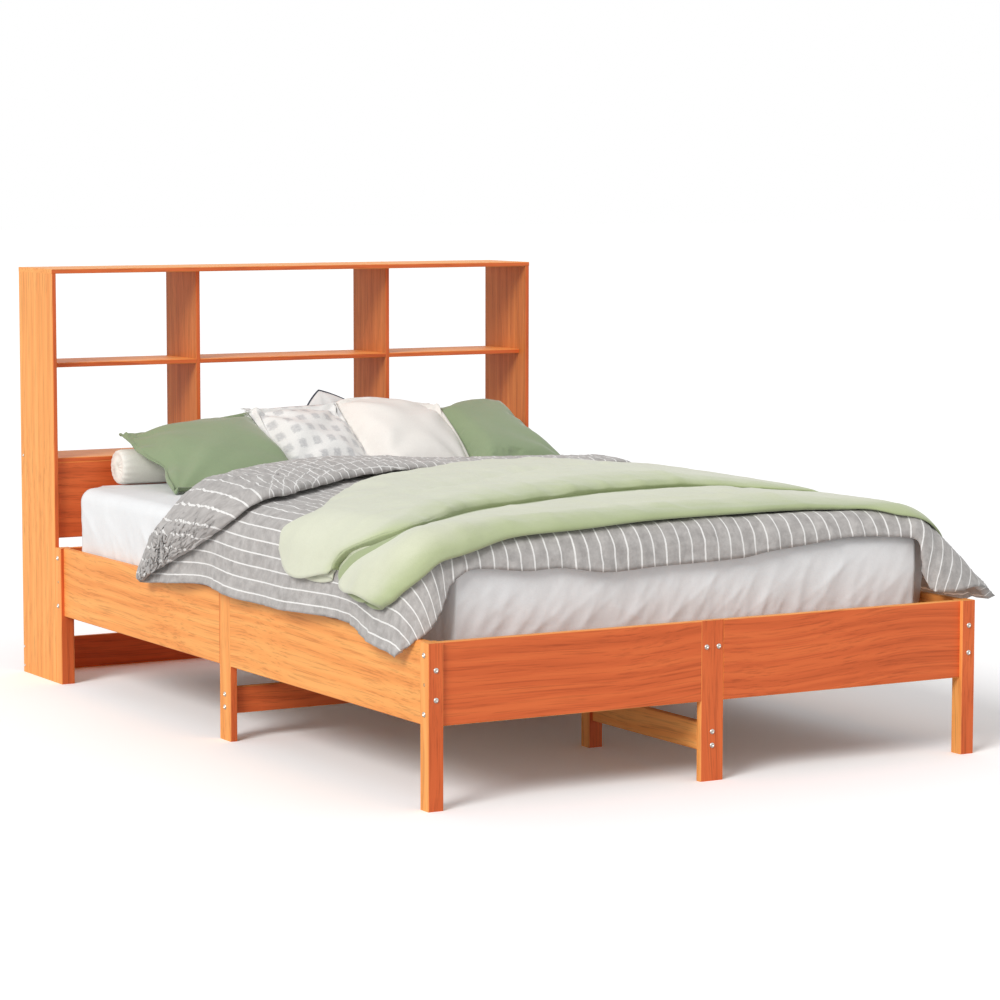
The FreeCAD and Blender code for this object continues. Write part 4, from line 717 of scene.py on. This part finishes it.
def weld(piece, distance=1e-5):
    """Points that lie on each other become one, which closes rims and poles."""
    mesh = bmesh.new()
    mesh.from_mesh(piece.data)
    bmesh.ops.remove_doubles(mesh, verts=mesh.verts, dist=distance)
    bmesh.ops.recalc_face_normals(mesh, faces=mesh.faces)
    mesh.to_mesh(piece.data)
    mesh.free()
    piece.data.polygons.foreach_set("use_smooth", [True] * len(piece.data.polygons))


BACK_START, BACK_LINE_STRENGTH = 0.47, 0.88


def striped(woven, plain_colour):
    """Thin white lines down the cloth every 34 mm, and crossing ones on its back every 60 mm.

    A line is drawn where the share of its pitch is within half its width of the middle, and
    washed-out patches from noise go under the lines.
    """
    uv = woven.add("ShaderNodeUVMap", uv_map="cloth")
    split = woven.add("ShaderNodeSeparateXYZ", {0: uv.outputs[0]})
    wobble = woven.add("ShaderNodeTexNoise", {"Vector": uv.outputs[0], "Scale": 60.0})
    lines = []
    for socket, pitch, width in ((split.outputs[0], 0.034, 0.0038), (split.outputs[1], 0.060, 0.0044)):
        moved = woven.math("MULTIPLY_ADD", wobble.outputs["Fac"], 0.0016, socket)
        share = woven.math("FRACT", woven.math("DIVIDE", moved, pitch))
        off = woven.math("ABSOLUTE", woven.math("SUBTRACT", share, 0.5))
        lines.append(woven.math("LESS_THAN", off, width / pitch / 2))
    back = woven.math("GREATER_THAN", split.outputs[1], BACK_START)
    crossing = woven.math("MULTIPLY", lines[1], woven.math("MULTIPLY", back, BACK_LINE_STRENGTH))
    line = woven.math("MAXIMUM", lines[0], crossing)
    washed = woven.add("ShaderNodeTexNoise", {"Vector": uv.outputs[0], "Scale": 34.0, "Detail": 6.0,
                                              "Roughness": 0.68})
    faded = woven.ramp(washed.outputs["Fac"], ((0.36, (0.84, 0.83, 0.83, 1)), (0.66, (1.22, 1.22, 1.22, 1))))
    mottled = woven.mix(1.0, plain_colour, faded, blend="MULTIPLY")
    return woven.mix(line, mottled, (0.88, 0.87, 0.85, 1))


duvet_cover = cloth("striped_cotton", (0.47, 0.45, 0.435, 1), depth=0.75, sheen=0.25, pattern=striped)
cloth_uv = np.stack([np.stack([nominal, cloth_along], axis=-1)] * 2)
duvet = new_mesh("duvet_quilt", points, shell_faces(ACROSS_STEPS, path.size), duvet_cover, uv=cloth_uv)
weld(duvet)
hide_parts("duvet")
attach(duvet, "root")

# ---------------------------------------------------------------- throw
# A pale sage cotton throw, folded lengthways and laid across the bed in two soft rolls with a
# deep valley between them. Its folded ends hang over the sides.

# The throw's upper edge, valley and lower edge by the place across, and how far its left end
# reaches by the place between those edges.
THROW_UPPER = ((-0.820, -0.448), (-0.774, -0.436), (-0.732, -0.472), (-0.690, -0.485), (-0.600, -0.400),
               (-0.528, -0.323), (-0.420, -0.190), (-0.315, -0.068), (-0.200, 0.020), (-0.075, 0.091),
               (0.100, 0.195), (0.310, 0.240), (0.500, 0.235), (0.700, 0.190), (0.860, 0.170))
THROW_VALLEY = ((-0.820, -0.740), (-0.780, -0.779), (-0.765, -0.809), (-0.735, -0.880), (-0.702, -0.922),
                (-0.650, -0.912), (-0.573, -0.860), (-0.381, -0.712), (-0.210, -0.643), (0.093, -0.525),
                (0.363, -0.485), (0.500, -0.505), (0.640, -0.570), (0.860, -0.640))
THROW_LOWER = ((-0.831, -0.990), (-0.804, -1.040), (-0.738, -1.085), (-0.660, -1.088), (-0.594, -1.080),
               (-0.468, -1.055), (-0.288, -1.049), (-0.102, -1.036), (0.144, -1.028), (0.321, -1.012),
               (0.480, -1.025), (0.567, -1.060), (0.640, -1.065), (0.714, -1.040), (0.860, -0.950))
THROW_LEFT_END = ((0.0, 0.765), (0.2, 0.794), (0.5, 0.809), (0.9, 0.797), (1.0, 0.777), (1.15, 0.800),
                  (1.5, 0.820), (1.8, 0.830), (2.0, 0.829))
# Its section: how far along its own path, where between the edges, and how high. Place 0 is
# the upper edge, 1 the valley and 2 the lower edge. The path starts and ends underneath.
THROW_SECTION = ((-0.26, 0.25, 0.016), (-0.08, 0.83, 0.020), (-0.045, 0.90, 0.017), (-0.02, 0.92, 0.011),
                 (0.01, 0.88, 0.006), (0.16, 0.10, 0.005), (0.185, 0.02, 0.008), (0.20, 0.00, 0.016),
                 (0.215, 0.02, 0.026), (0.25, 0.12, 0.034), (0.34, 0.50, 0.044), (0.44, 0.86, 0.048),
                 (0.475, 0.985, 0.040), (0.488, 1.025, 0.026), (0.498, 1.010, 0.010), (0.515, 1.03, 0.006),
                 (0.535, 1.10, 0.012), (0.58, 1.27, 0.029), (0.68, 1.60, 0.036), (0.765, 1.90, 0.030),
                 (0.785, 1.975, 0.021), (0.80, 2.00, 0.013), (0.815, 1.98, 0.006), (0.84, 1.88, 0.005),
                 (0.98, 1.15, 0.006), (1.005, 1.09, 0.011), (1.03, 1.12, 0.017), (1.20, 1.75, 0.017))
# How many rows of points the path gets from each of these places to the next.
THROW_ROWS = ((-0.26, 12), (-0.09, 15), (0.03, 10), (0.15, 24), (0.26, 40), (0.46, 38), (0.56, 40),
              (0.76, 22), (0.85, 10), (0.97, 13), (1.05, 13), (1.20, 0))
THROW_ACROSS = 200
THROW_LEFT, THROW_RIGHT, LEFT_END_START = 0.83, 0.81, 0.55
OUTSIDE_START, OUTSIDE_END = 0.19, 0.80
THROW_CLEARANCE = 0.004
THROW_THICKNESS = 0.0035
PATH_LENGTH = 2.3

section = np.array(THROW_SECTION)
q = np.concatenate([np.linspace(start, end, count, endpoint=False)
                    for (start, count), (end, _) in zip(THROW_ROWS, THROW_ROWS[1:])])
across, q_grid = np.meshgrid(np.linspace(-THROW_LEFT, THROW_RIGHT, THROW_ACROSS), q, indexing="ij")
place = through(q_grid, section[:, [0, 1]])
rise = through(q_grid, section[:, [0, 2]])
upper = through(across, THROW_UPPER)
valley = through(across, THROW_VALLEY)
lower = through(across, THROW_LOWER)
along = np.where(place < 1, upper + (valley - upper) * place, valley + (lower - valley) * (place - 1))
left_end = through(np.clip(place, 0, 2), THROW_LEFT_END) + 0.008 * np.sin(23 * q_grid + 1.0)
toward_left = np.clip(-across - LEFT_END_START, 0, None) / (THROW_LEFT - LEFT_END_START)
across = across + toward_left * (THROW_LEFT - left_end)

# The rolls carry creases both ways and one long tuck, and lie lower toward both ends.
on_top = np.clip((rise - 0.018) / 0.012, 0, 1) * (np.abs(place - 1) < 1.2)
lengthways = ripples(along, across * 0.35, 21, 10, 0.24, 0.07, slant=0.10)
crossways = ripples(across, along, 22, 10, 0.20, 0.06, slant=0.35)
outside = np.where((q_grid > OUTSIDE_START) & (q_grid < OUTSIDE_END), 1.0, 0.0)
rise = rise + outside * on_top * (0.012 * (lengthways - 0.5) + 0.009 * (crossways - 0.5))
rise = rise * (1 - 0.80 * np.clip((across - 0.34) / 0.34, 0, 1) ** 0.8)
rise = rise * (1 - 0.58 * np.clip((-across - 0.52) / 0.24, 0, 1) * (place < 1.02))
tuck_place = 0.56 - 0.12 * np.sin(1.9 * across + 0.2)
tuck = np.exp(-((place - tuck_place) / 0.05) ** 2) * np.clip((across + 0.50) / 0.25, 0, 1)
rise = rise - outside * on_top * 0.013 * tuck * np.clip((0.62 - across) / 0.3, 0, 1)
lift = (rise + THROW_CLEARANCE)[..., None]
points = over_the_bed(across, along) + outward_of(over_the_bed, across, along) * lift
throw_uv = np.stack([across, q_grid * PATH_LENGTH], axis=-1)

# How far before the path's zero the painted fold shade starts, and the length it is spread over.
SHADE_BEFORE, SHADE_LENGTH = 0.55, 3.36


def painted_fold_shade(woven, plain_colour):
    """Painted shade where the cloth turns down into the valley and under its lower edge, and a slight painted
    highlight on the tops of the rolls.

    The tone is read from the share of the cloth's length, which starts some way before the
    path's zero and wanders by noise.
    """
    uv = woven.add("ShaderNodeUVMap", uv_map="cloth")
    split = woven.add("ShaderNodeSeparateXYZ", {0: uv.outputs[0]})
    wander = woven.add("ShaderNodeTexNoise", {"Vector": uv.outputs[0], "Scale": 9.0, "Detail": 3.0})
    place = woven.math("MULTIPLY_ADD", wander.outputs["Fac"], 0.10,
                       woven.math("ADD", split.outputs[1], SHADE_BEFORE))
    place = woven.math("DIVIDE", place, SHADE_LENGTH)
    # Painted shade: darker green in the valley and under the lower edge. The slight lift above one on the
    # rolls is painted highlight.
    tone = woven.ramp(place, (
        (0.385, (1.04, 1.03, 1.06, 1)), (0.472, (1.02, 1.02, 1.02, 1)), (0.501, (0.82, 0.87, 0.71, 1)),
        (0.520, (0.55, 0.63, 0.42, 1)), (0.534, (0.97, 0.98, 0.95, 1)), (0.560, (1.05, 1.04, 1.07, 1)),
        (0.670, (1.00, 1.00, 0.97, 1)), (0.705, (0.74, 0.80, 0.61, 1)), (0.735, (0.55, 0.63, 0.42, 1))))
    return woven.mix(1.0, plain_colour, tone, blend="MULTIPLY")


throw_cover = cloth("sage_cotton", (0.71, 0.735, 0.565, 1), weave=700.0, depth=0.45, sheen=0.40,
                    pattern=painted_fold_shade)
throw = new_mesh("folded_throw", points, grid_faces(THROW_ACROSS, q.size), throw_cover, uv=throw_uv)
hem = throw.modifiers.new("cloth_thickness", "SOLIDIFY")
hem.thickness = THROW_THICKNESS
hem.offset = 0
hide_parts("throw")
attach(throw, "root")

# ---------------------------------------------------------------- bolster
# A small stuffed roll in cream cotton that lies across the head of the bed. Its cover is
# gathered in pleats into the middle of both ends, and its weight flattens it a little.
PLEATS = 17
PLEAT_DEPTH = 0.0016
REST_GAP = 0.0006

low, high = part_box("bolster")
roll_radius = (high[2] - low[2]) / 2
roll_length = high[0] - low[0]
run = np.concatenate([[0.0, 0.004, 0.010, 0.018, 0.028], np.linspace(0.042, roll_length / 2, 22)])
run = np.concatenate([run, (roll_length - run)[::-1][1:]])
turn = np.linspace(0, 2 * np.pi, 96, endpoint=False)

# The roll's radius grows from its ends by a quarter circle, and its pleats die away from them.
from_end = np.minimum(run, roll_length - run)
swell = np.clip(from_end / 0.020, 0, 1)
radius = roll_radius * (0.84 + 0.16 * np.sqrt(1 - (1 - swell) ** 2)) * (1 - 0.02 * np.cos(run * 20))
gathers = 0.0012 * np.sin(turn * PLEATS) * np.exp(-(from_end / 0.03) ** 2)[:, None]
ring_radius = np.minimum(radius[:, None] + gathers, roll_radius)
body = np.stack([run[:, None] + 0 * turn, ring_radius * np.cos(turn), ring_radius * np.sin(turn)], axis=-1)

# Each end is a low dome with a dimple, exp(-(share / 0.18)^2), where the pleats meet.
share = np.linspace(0.02, 1, 9)[:, None]
pleats = PLEAT_DEPTH * np.sin(turn * PLEATS)[None] * (1 - share) * share * 4
ends = []
for place, outward in ((0.0, -1), (roll_length, 1)):
    puffed = outward * (-0.006 + 0.008 * (1 - share ** 2) - 0.010 * np.exp(-(share / 0.18) ** 2) + pleats)
    ends.append(np.stack([place + puffed * (1 - share ** 6), ring_radius[0] * share * np.cos(turn),
                          ring_radius[0] * share * np.sin(turn)], axis=-1))
points = np.concatenate([ends[0], body[1:-1], ends[1][::-1]])
points = points + np.array([low[0], (low[1] + high[1]) / 2, low[2] + roll_radius])
points[..., 2] = np.maximum(points[..., 2], bed_top + REST_GAP)
bolster_cloth = cloth("bolster_cloth", (0.89, 0.86, 0.79, 1), weave=600.0, depth=0.3, sheen=0.3)
bolster = new_mesh("stuffed_bolster", points, grid_faces(len(points), turn.size, closed_columns=True),
                   bolster_cloth)
weld(bolster, 2e-4)
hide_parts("bolster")
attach(bolster, "root")

# ---------------------------------------------------------------- cushions and pillows
# Five filled covers lean against the bookcase, one in front of the other: a fringed plaid
# cushion, a plump cream one, two sage green pillows and a white one with a dark piping.
CUSHION_STEP = 0.006
CUSHION_CROWN = 0.42
CORNER_TUCK, CORNER_TUCK_REACH = 0.0045, 0.07
STUFFING_FRAMES = 20
STUFFING_CAP = 0.024
COVER_GAP = 0.0012
head_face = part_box("left_side_panel")[0][1]


def lying_cushion(width, height, thickness, pull, roundness, seed):
    """A filled cover lying flat on its back: two grids that meet in its seam.

    u runs from -1 to 1 across and v upwards. A side pulls in between its corners by the share
    pull (1 - v^2), its corners round off by the root of 1 - roundness v^2 / 2, and each face
    rises by half the thickness times ((1 - u^2)(1 - v^2))^0.42. Creases run along its seam,
    and tucks fan out of each corner as a cosine of the bearing.
    """
    columns, rows = round(width / CUSHION_STEP), round(height / CUSHION_STEP)
    u, v = np.meshgrid(np.linspace(-1, 1, columns), np.linspace(-1, 1, rows), indexing="ij")
    x = width / 2 * u * (1 - pull * (1 - v ** 2) * u ** 2) * np.sqrt(1 - roundness * v ** 2 / 2)
    y = height / 2 * v * (1 - pull * (1 - u ** 2) * v ** 2) * np.sqrt(1 - roundness * u ** 2 / 2)
    crown = ((1 - u ** 2) * (1 - v ** 2)) ** CUSHION_CROWN
    from_edge = np.clip(1 - np.maximum(np.abs(u), np.abs(v)), 0, 1)
    sides = []
    for side in (1, -1):
        creases = ripples(x, y, seed + side, 9, 0.16, 0.05, slant=0.5 * side) - 0.8
        z = thickness / 2 * crown * (1 + 0.10 * creases * np.clip(1 - 1.6 * from_edge, 0, 1))
        for corner_u, corner_v in ((-1, 1), (1, 1), (-1, -1), (1, -1)):
            away = np.hypot(width / 2 * (u - corner_u), height / 2 * (v - corner_v))
            bearing = np.arctan2(height * (corner_v - v) * corner_v, width * (corner_u - u) * corner_u)
            tucks = np.cos(bearing * 11 + seed + 2 * corner_u + corner_v) * np.sin(2 * bearing)
            fading = away / CORNER_TUCK_REACH * np.exp(1 - away / CORNER_TUCK_REACH)
            z = z + CORNER_TUCK * tucks * fading * crown
        sides.append(np.stack([x, y, side * z], axis=-1))
    uv = np.stack([np.stack([x, y], axis=-1)] * 2)
    return np.stack(sides), shell_faces(columns, rows), uv


def leaning(lean, turn, roll):
    """The three turns of a cushion, one matrix after the other.

    It is rolled in its own plane, leant back from lying flat, then turned about the upright.
    """
    turned_by = Euler((0, 0, math.radians(turn))).to_matrix()
    leant_by = Euler((math.radians(lean), 0, 0)).to_matrix()
    rolled_by = Euler((0, 0, math.radians(roll))).to_matrix()
    return np.array(turned_by @ leant_by @ rolled_by)


def points_of(piece):
    """A piece's points as an array."""
    flat = np.empty(len(piece.data.vertices) * 3)
    piece.data.vertices.foreach_get("co", flat)
    return flat.reshape(-1, 3)


def surface_tree(piece):
    """A piece's surface, for rays to meet."""
    faces = [list(face.vertices) for face in piece.data.polygons]
    return BVHTree.FromPolygons(points_of(piece).tolist(), faces)


def joined_pairs(piece):
    """The two points of every edge of a piece."""
    flat = np.empty(len(piece.data.edges) * 2, dtype=np.int64)
    piece.data.edges.foreach_get("vertices", flat)
    return flat.reshape(-1, 2)


def eased(needed, pairs, rounds=16, keep=0.97):
    """A dent that goes as deep as needed everywhere and dies away over the points around.

    Each round a point takes the mean depth of its neighbours times keep, or its own need.
    """
    count = np.bincount(pairs.ravel(), minlength=needed.size)
    depth = needed.copy()
    for _ in range(rounds):
        around = np.bincount(pairs[:, 0], depth[pairs[:, 1]], needed.size)
        around += np.bincount(pairs[:, 1], depth[pairs[:, 0]], needed.size)
        depth = np.maximum(needed, keep * around / np.maximum(count, 1))
    return depth


def given_way(points, pairs, front, facing, reach=0.6):
    """Points in front of another cover's hidden side sink behind it, against its facing.

    A ray from behind, along the facing, meets that side, and a point beyond it sinks by as
    much as it is beyond, plus the gap.
    """
    tree = surface_tree(front)
    needed = np.zeros(len(points))
    for index, point in enumerate(points):
        hit, _, _, distance = tree.ray_cast(Vector(point - facing * reach), Vector(facing))
        if hit is not None:
            needed[index] = max(0.0, reach - distance + COVER_GAP)
    return points - facing * eased(needed, pairs)[:, None]


def raised_over(points, pairs, under, facing):
    """Points sunk into a piece underneath rise out of it along the cover's own facing.

    A ray from a sunk point leaves that piece through a side that faces the same way.
    """
    tree = surface_tree(under)
    way = Vector(facing)
    needed = np.zeros(len(points))
    for index, point in enumerate(points):
        hit, normal, _, distance = tree.ray_cast(Vector(point), way)
        if hit is not None and normal.dot(way) > 0:
            needed[index] = distance + COVER_GAP
    return points + facing * eased(needed, pairs, rounds=40)[:, None]


def bell(distance, width):
    """One at no distance, dying away as exp(-(distance / width)^2)."""
    return np.exp(-(distance / width) ** 2)


def wrung_end(points):
    """The left green pillow's outer end, as it lies flat: pinched, ridged and folded twice.

    Each form is a bell round its own place. The pinch draws the end in and flattens it, the
    ridge runs to the upper corner, and the folds are hollows in both faces.
    """
    end = np.clip((-points[:, 0] - 0.150) / 0.070, 0, 1)
    pinch = points[:, 1] + 0.035
    points[:, 0] += 0.030 * bell(pinch, 0.048) * end
    points[:, 2] *= 1 - 0.55 * end * np.clip(1 - np.abs(pinch) / 0.09, 0, 1)
    ridge = bell(points[:, 1] - 0.090 + 0.6 * (points[:, 0] + 0.22), 0.020) * end
    upper_fold = bell(points[:, 0] + 0.165, 0.030) * bell(points[:, 1] - 0.085, 0.075)
    lower_fold = bell(points[:, 0] + 0.150, 0.028) * bell(points[:, 1] + 0.060, 0.045)
    points[:, 2] += np.sign(points[:, 2]) * (0.012 * ridge - 0.014 * upper_fold)
    points[:, 2] -= np.sign(points[:, 2]) * 0.014 * lower_fold


def gingham(woven, plain_colour):
    """Soft grey blocks where a pale plaid's bands cross, every 41 mm across and 50 mm up.

    A band is full where the share of its pitch is near the middle, and fades at its sides.
    """
    uv = woven.add("ShaderNodeUVMap", uv_map="cloth")
    split = woven.add("ShaderNodeSeparateXYZ", {0: uv.outputs[0]})
    ragged = woven.add("ShaderNodeTexNoise", {"Vector": uv.outputs[0], "Scale": 160.0, "Detail": 2.0})
    bands = []
    for socket, pitch, half in ((split.outputs[0], 0.041, 0.33), (split.outputs[1], 0.050, 0.35)):
        moved = woven.math("MULTIPLY_ADD", ragged.outputs["Fac"], 0.012, socket)
        share = woven.math("FRACT", woven.math("DIVIDE", moved, pitch))
        off = woven.math("ABSOLUTE", woven.math("SUBTRACT", share, 0.5))
        full = woven.math("MULTIPLY", woven.math("SUBTRACT", half, off), 6.5)
        bands.append(woven.math("MINIMUM", woven.math("MAXIMUM", full, 0.0), 1.0))
    block = woven.math("MULTIPLY", bands[0], bands[1])
    block = woven.math("MULTIPLY", block, woven.math("MULTIPLY_ADD", ragged.outputs["Fac"], 0.9, 0.25))
    single = woven.math("MULTIPLY", woven.math("MAXIMUM", bands[0], bands[1]), 0.06)
    strength = woven.math("MAXIMUM", block, single)
    return woven.mix(strength, plain_colour, (0.52, 0.52, 0.53, 1))


green_cloth = cloth("green_pillow_cloth", (0.285, 0.362, 0.212, 1), weave=800.0, depth=0.22, sheen=0.35)
white_cloth = cloth("white_pillow_cloth", (0.84, 0.84, 0.83, 1), depth=0.18, sheen=0.2)
plaid_cloth = cloth("plaid_cushion_cloth", (0.90, 0.89, 0.87, 1), weave=420.0, depth=0.5, sheen=0.3,
                    pattern=gingham)
cream_cloth = cloth("cream_cushion_cloth", (0.91, 0.875, 0.83, 1), depth=0.20, sheen=0.3)

# Each one's size, its middle across the bed and forward of the bookcase, its lean, turn and
# roll in degrees, how far its sides pull in and its corners round off, its cloth and slot.
CUSHIONS = {
    "plaid_cushion": ((0.290, 0.335, 0.098), (-0.055, 0.206), (36, 4, 0), (0.01, 0.0),
                      plaid_cloth, "plaid_cloth"),
    "cream_cushion": ((0.360, 0.360, 0.115), (0.210, 0.214), (33, 8, -11), (0.0, 0.38),
                      cream_cloth, "cream_cloth"),
    "left_green_pillow": ((0.440, 0.400, 0.132), (-0.345, 0.216), (21, -14, 14), (0.02, 0.0),
                          green_cloth, "green_cloth"),
    "right_green_pillow": ((0.440, 0.400, 0.100), (0.408, 0.205), (23, -4, 6), (0.0, 0.02),
                           green_cloth, "green_cloth"),
    "back_white_pillow": ((0.235, 0.210, 0.056), (0.086, 0.072), (64, 0, -32), (0.0, 0.5),
                          white_cloth, "white_cloth"),
}

stuffed, seams = {}, {}
for number, (name, (size, _, _, outline, cover, _)) in enumerate(CUSHIONS.items()):
    points, faces, uv = lying_cushion(*size, *outline, 40 + 3 * number)
    piece = new_mesh("stuffed_" + name, points, faces, cover, uv=uv)
    weld(piece)
    stuffed[name] = piece
    face = points[0]
    rim = np.concatenate([face[:, 0], face[-1, 1:], face[-2::-1, -1], face[0, -2:0:-1]])
    away = np.linalg.norm(rim[:, None] - points_of(piece)[None], axis=-1)
    seams[name] = np.argmin(away, axis=1)

# Air pressure fills the covers, whose cloth is a little larger than their outline, so that
# it creases toward the corners. No point moves farther than the cap.
blown = {}
for piece in stuffed.values():
    filling = piece.modifiers.new("filling", "CLOTH")
    filling.settings.quality = 5
    filling.settings.mass = 0.15
    filling.settings.tension_stiffness = 18
    filling.settings.compression_stiffness = 18
    filling.settings.shear_stiffness = 6
    filling.settings.bending_stiffness = 0.25
    filling.settings.use_pressure = True
    filling.settings.uniform_pressure_force = 4
    filling.settings.shrink_min = -0.02
    filling.settings.effector_weights.gravity = 0
    filling.point_cache.frame_start = 1
    filling.point_cache.frame_end = STUFFING_FRAMES
for step in range(1, STUFFING_FRAMES + 1):
    bpy.context.scene.frame_set(step)
depsgraph = bpy.context.evaluated_depsgraph_get()
for name, piece in stuffed.items():
    evaluated = piece.evaluated_get(depsgraph)
    flat = np.empty(len(evaluated.data.vertices) * 3)
    evaluated.data.vertices.foreach_get("co", flat)
    blown[name] = flat.reshape(-1, 3)
for name, piece in stuffed.items():
    piece.modifiers.clear()
    before = points_of(piece)
    moved = blown[name] - before
    length = np.linalg.norm(moved, axis=1, keepdims=True)
    moved = moved * np.minimum(1, STUFFING_CAP / np.maximum(length, 1e-9))
    piece.data.vertices.foreach_set("co", (before + moved).ravel())
bpy.context.scene.frame_set(1)

# Each cover is laid in its place, sits flat on the sheet, and gives way to the ones in front.
in_front = []
for name, (size, place, angles, _, _, slot) in CUSHIONS.items():
    piece = stuffed[name]
    pairs = joined_pairs(piece)
    matrix = leaning(*angles)
    points = points_of(piece)
    points *= np.array(size) / np.ptp(points, axis=0)
    if name == "left_green_pillow":
        wrung_end(points)
    points = points @ matrix.T
    points += np.array([place[0], head_face - place[1], bed_top - np.percentile(points[:, 2], 0.5)])
    for other, facing in in_front:
        points = given_way(points, pairs, other, facing)
    points[:, 2] = np.maximum(points[:, 2], bed_top + REST_GAP)
    points[:, 1] = np.minimum(points[:, 1], head_face - 0.001)
    if name == "left_green_pillow":
        points = raised_over(points, pairs, bolster, matrix[:, 2])
    piece.data.vertices.foreach_set("co", points.ravel())
    piece.data.update()
    in_front.append((piece, matrix[:, 2]))
    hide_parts(name)
    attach(piece, "root")
for piece in stuffed.values():
    finer = piece.modifiers.new("finer", "SUBSURF")
    finer.levels = finer.render_levels = 1

# ---------------------------------------------------------------- piping
# The white pillow's seam carries a dark cotton piping, a round cord sewn into it all the way
# round: a circle in the plane of the seam's outward side and the pillow's facing.
PIPING_RADIUS = 0.0022

seam = points_of(stuffed["back_white_pillow"])[seams["back_white_pillow"]]
ahead = np.roll(seam, -1, axis=0) - np.roll(seam, 1, axis=0)
ahead /= np.linalg.norm(ahead, axis=1, keepdims=True)
facing = leaning(*CUSHIONS["back_white_pillow"][2])[:, 2]
side = np.cross(ahead, facing)
turn = np.linspace(0, 2 * np.pi, 10, endpoint=False)
points = seam[:, None] + PIPING_RADIUS * (np.cos(turn)[None, :, None] * side[:, None]
                                          + np.sin(turn)[None, :, None] * facing)
piping_cloth = cloth("piping_cloth", (0.075, 0.085, 0.11, 1), weave=900.0, depth=0.1, sheen=0.1)
piping = new_mesh("pillow_piping", points,
                  grid_faces(len(seam), turn.size, closed_rows=True, closed_columns=True), piping_cloth)
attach(piping, "root")

# ---------------------------------------------------------------- fringe
# The plaid cushion's two sides end in a fringe of short cotton threads, each a thin
# four-sided spike that starts a little inside the seam and points its own way.
FRINGE_THREADS = 150
FRINGE_LENGTH, FRINGE_ROOT = 0.012, 0.003
THREAD_RADII = (0.0012, 0.0004)
SPIKE_FACES = np.array([[0, 1, 5, 4], [1, 2, 6, 5], [2, 3, 7, 6], [3, 0, 4, 7], [3, 2, 1, 0], [4, 5, 6, 7]])

draw = np.random.default_rng(77)
seam = points_of(stuffed["plaid_cushion"])[seams["plaid_cushion"]]
width, height, _ = CUSHIONS["plaid_cushion"][0]
columns, rows = round(width / CUSHION_STEP), round(height / CUSHION_STEP)
matrix = leaning(*CUSHIONS["plaid_cushion"][2])
right_side = seam[columns - 1:columns + rows - 1]
left_side = np.concatenate([seam[2 * columns + rows - 3:], seam[:1]])
angle = np.arange(4) * np.pi / 2
square = np.cos(angle)[:, None] * matrix[:, 1] + np.sin(angle)[:, None] * matrix[:, 2]
threads = []
for line, outward in ((right_side, 1), (left_side, -1)):
    stations = np.sort(draw.uniform(0, len(line) - 1, FRINGE_THREADS))
    root = np.stack([np.interp(stations, np.arange(len(line)), line[:, axis]) for axis in range(3)], axis=-1)
    way = outward * matrix[:, 0] + draw.normal(0, 0.28, (FRINGE_THREADS, 1)) * matrix[:, 1]
    way = way + draw.normal(0.05, 0.15, (FRINGE_THREADS, 1)) * matrix[:, 2]
    tip = root + way * FRINGE_LENGTH * draw.uniform(0.6, 1.15, (FRINGE_THREADS, 1))
    middles = np.stack([root - way * FRINGE_ROOT, tip], axis=1)
    threads.append(middles[:, :, None] + np.array(THREAD_RADII)[:, None, None] * square)
threads = np.concatenate(threads)
starts = np.arange(len(threads)) * threads[0, ..., 0].size
fringe_cloth = cloth("fringe_thread", (0.80, 0.79, 0.76, 1), weave=900.0, depth=0.1)
fringe = new_mesh("cushion_fringe", threads, (SPIKE_FACES[None] + starts[:, None, None]).reshape(-1, 4),
                  fringe_cloth, smooth=False)
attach(fringe, "root")
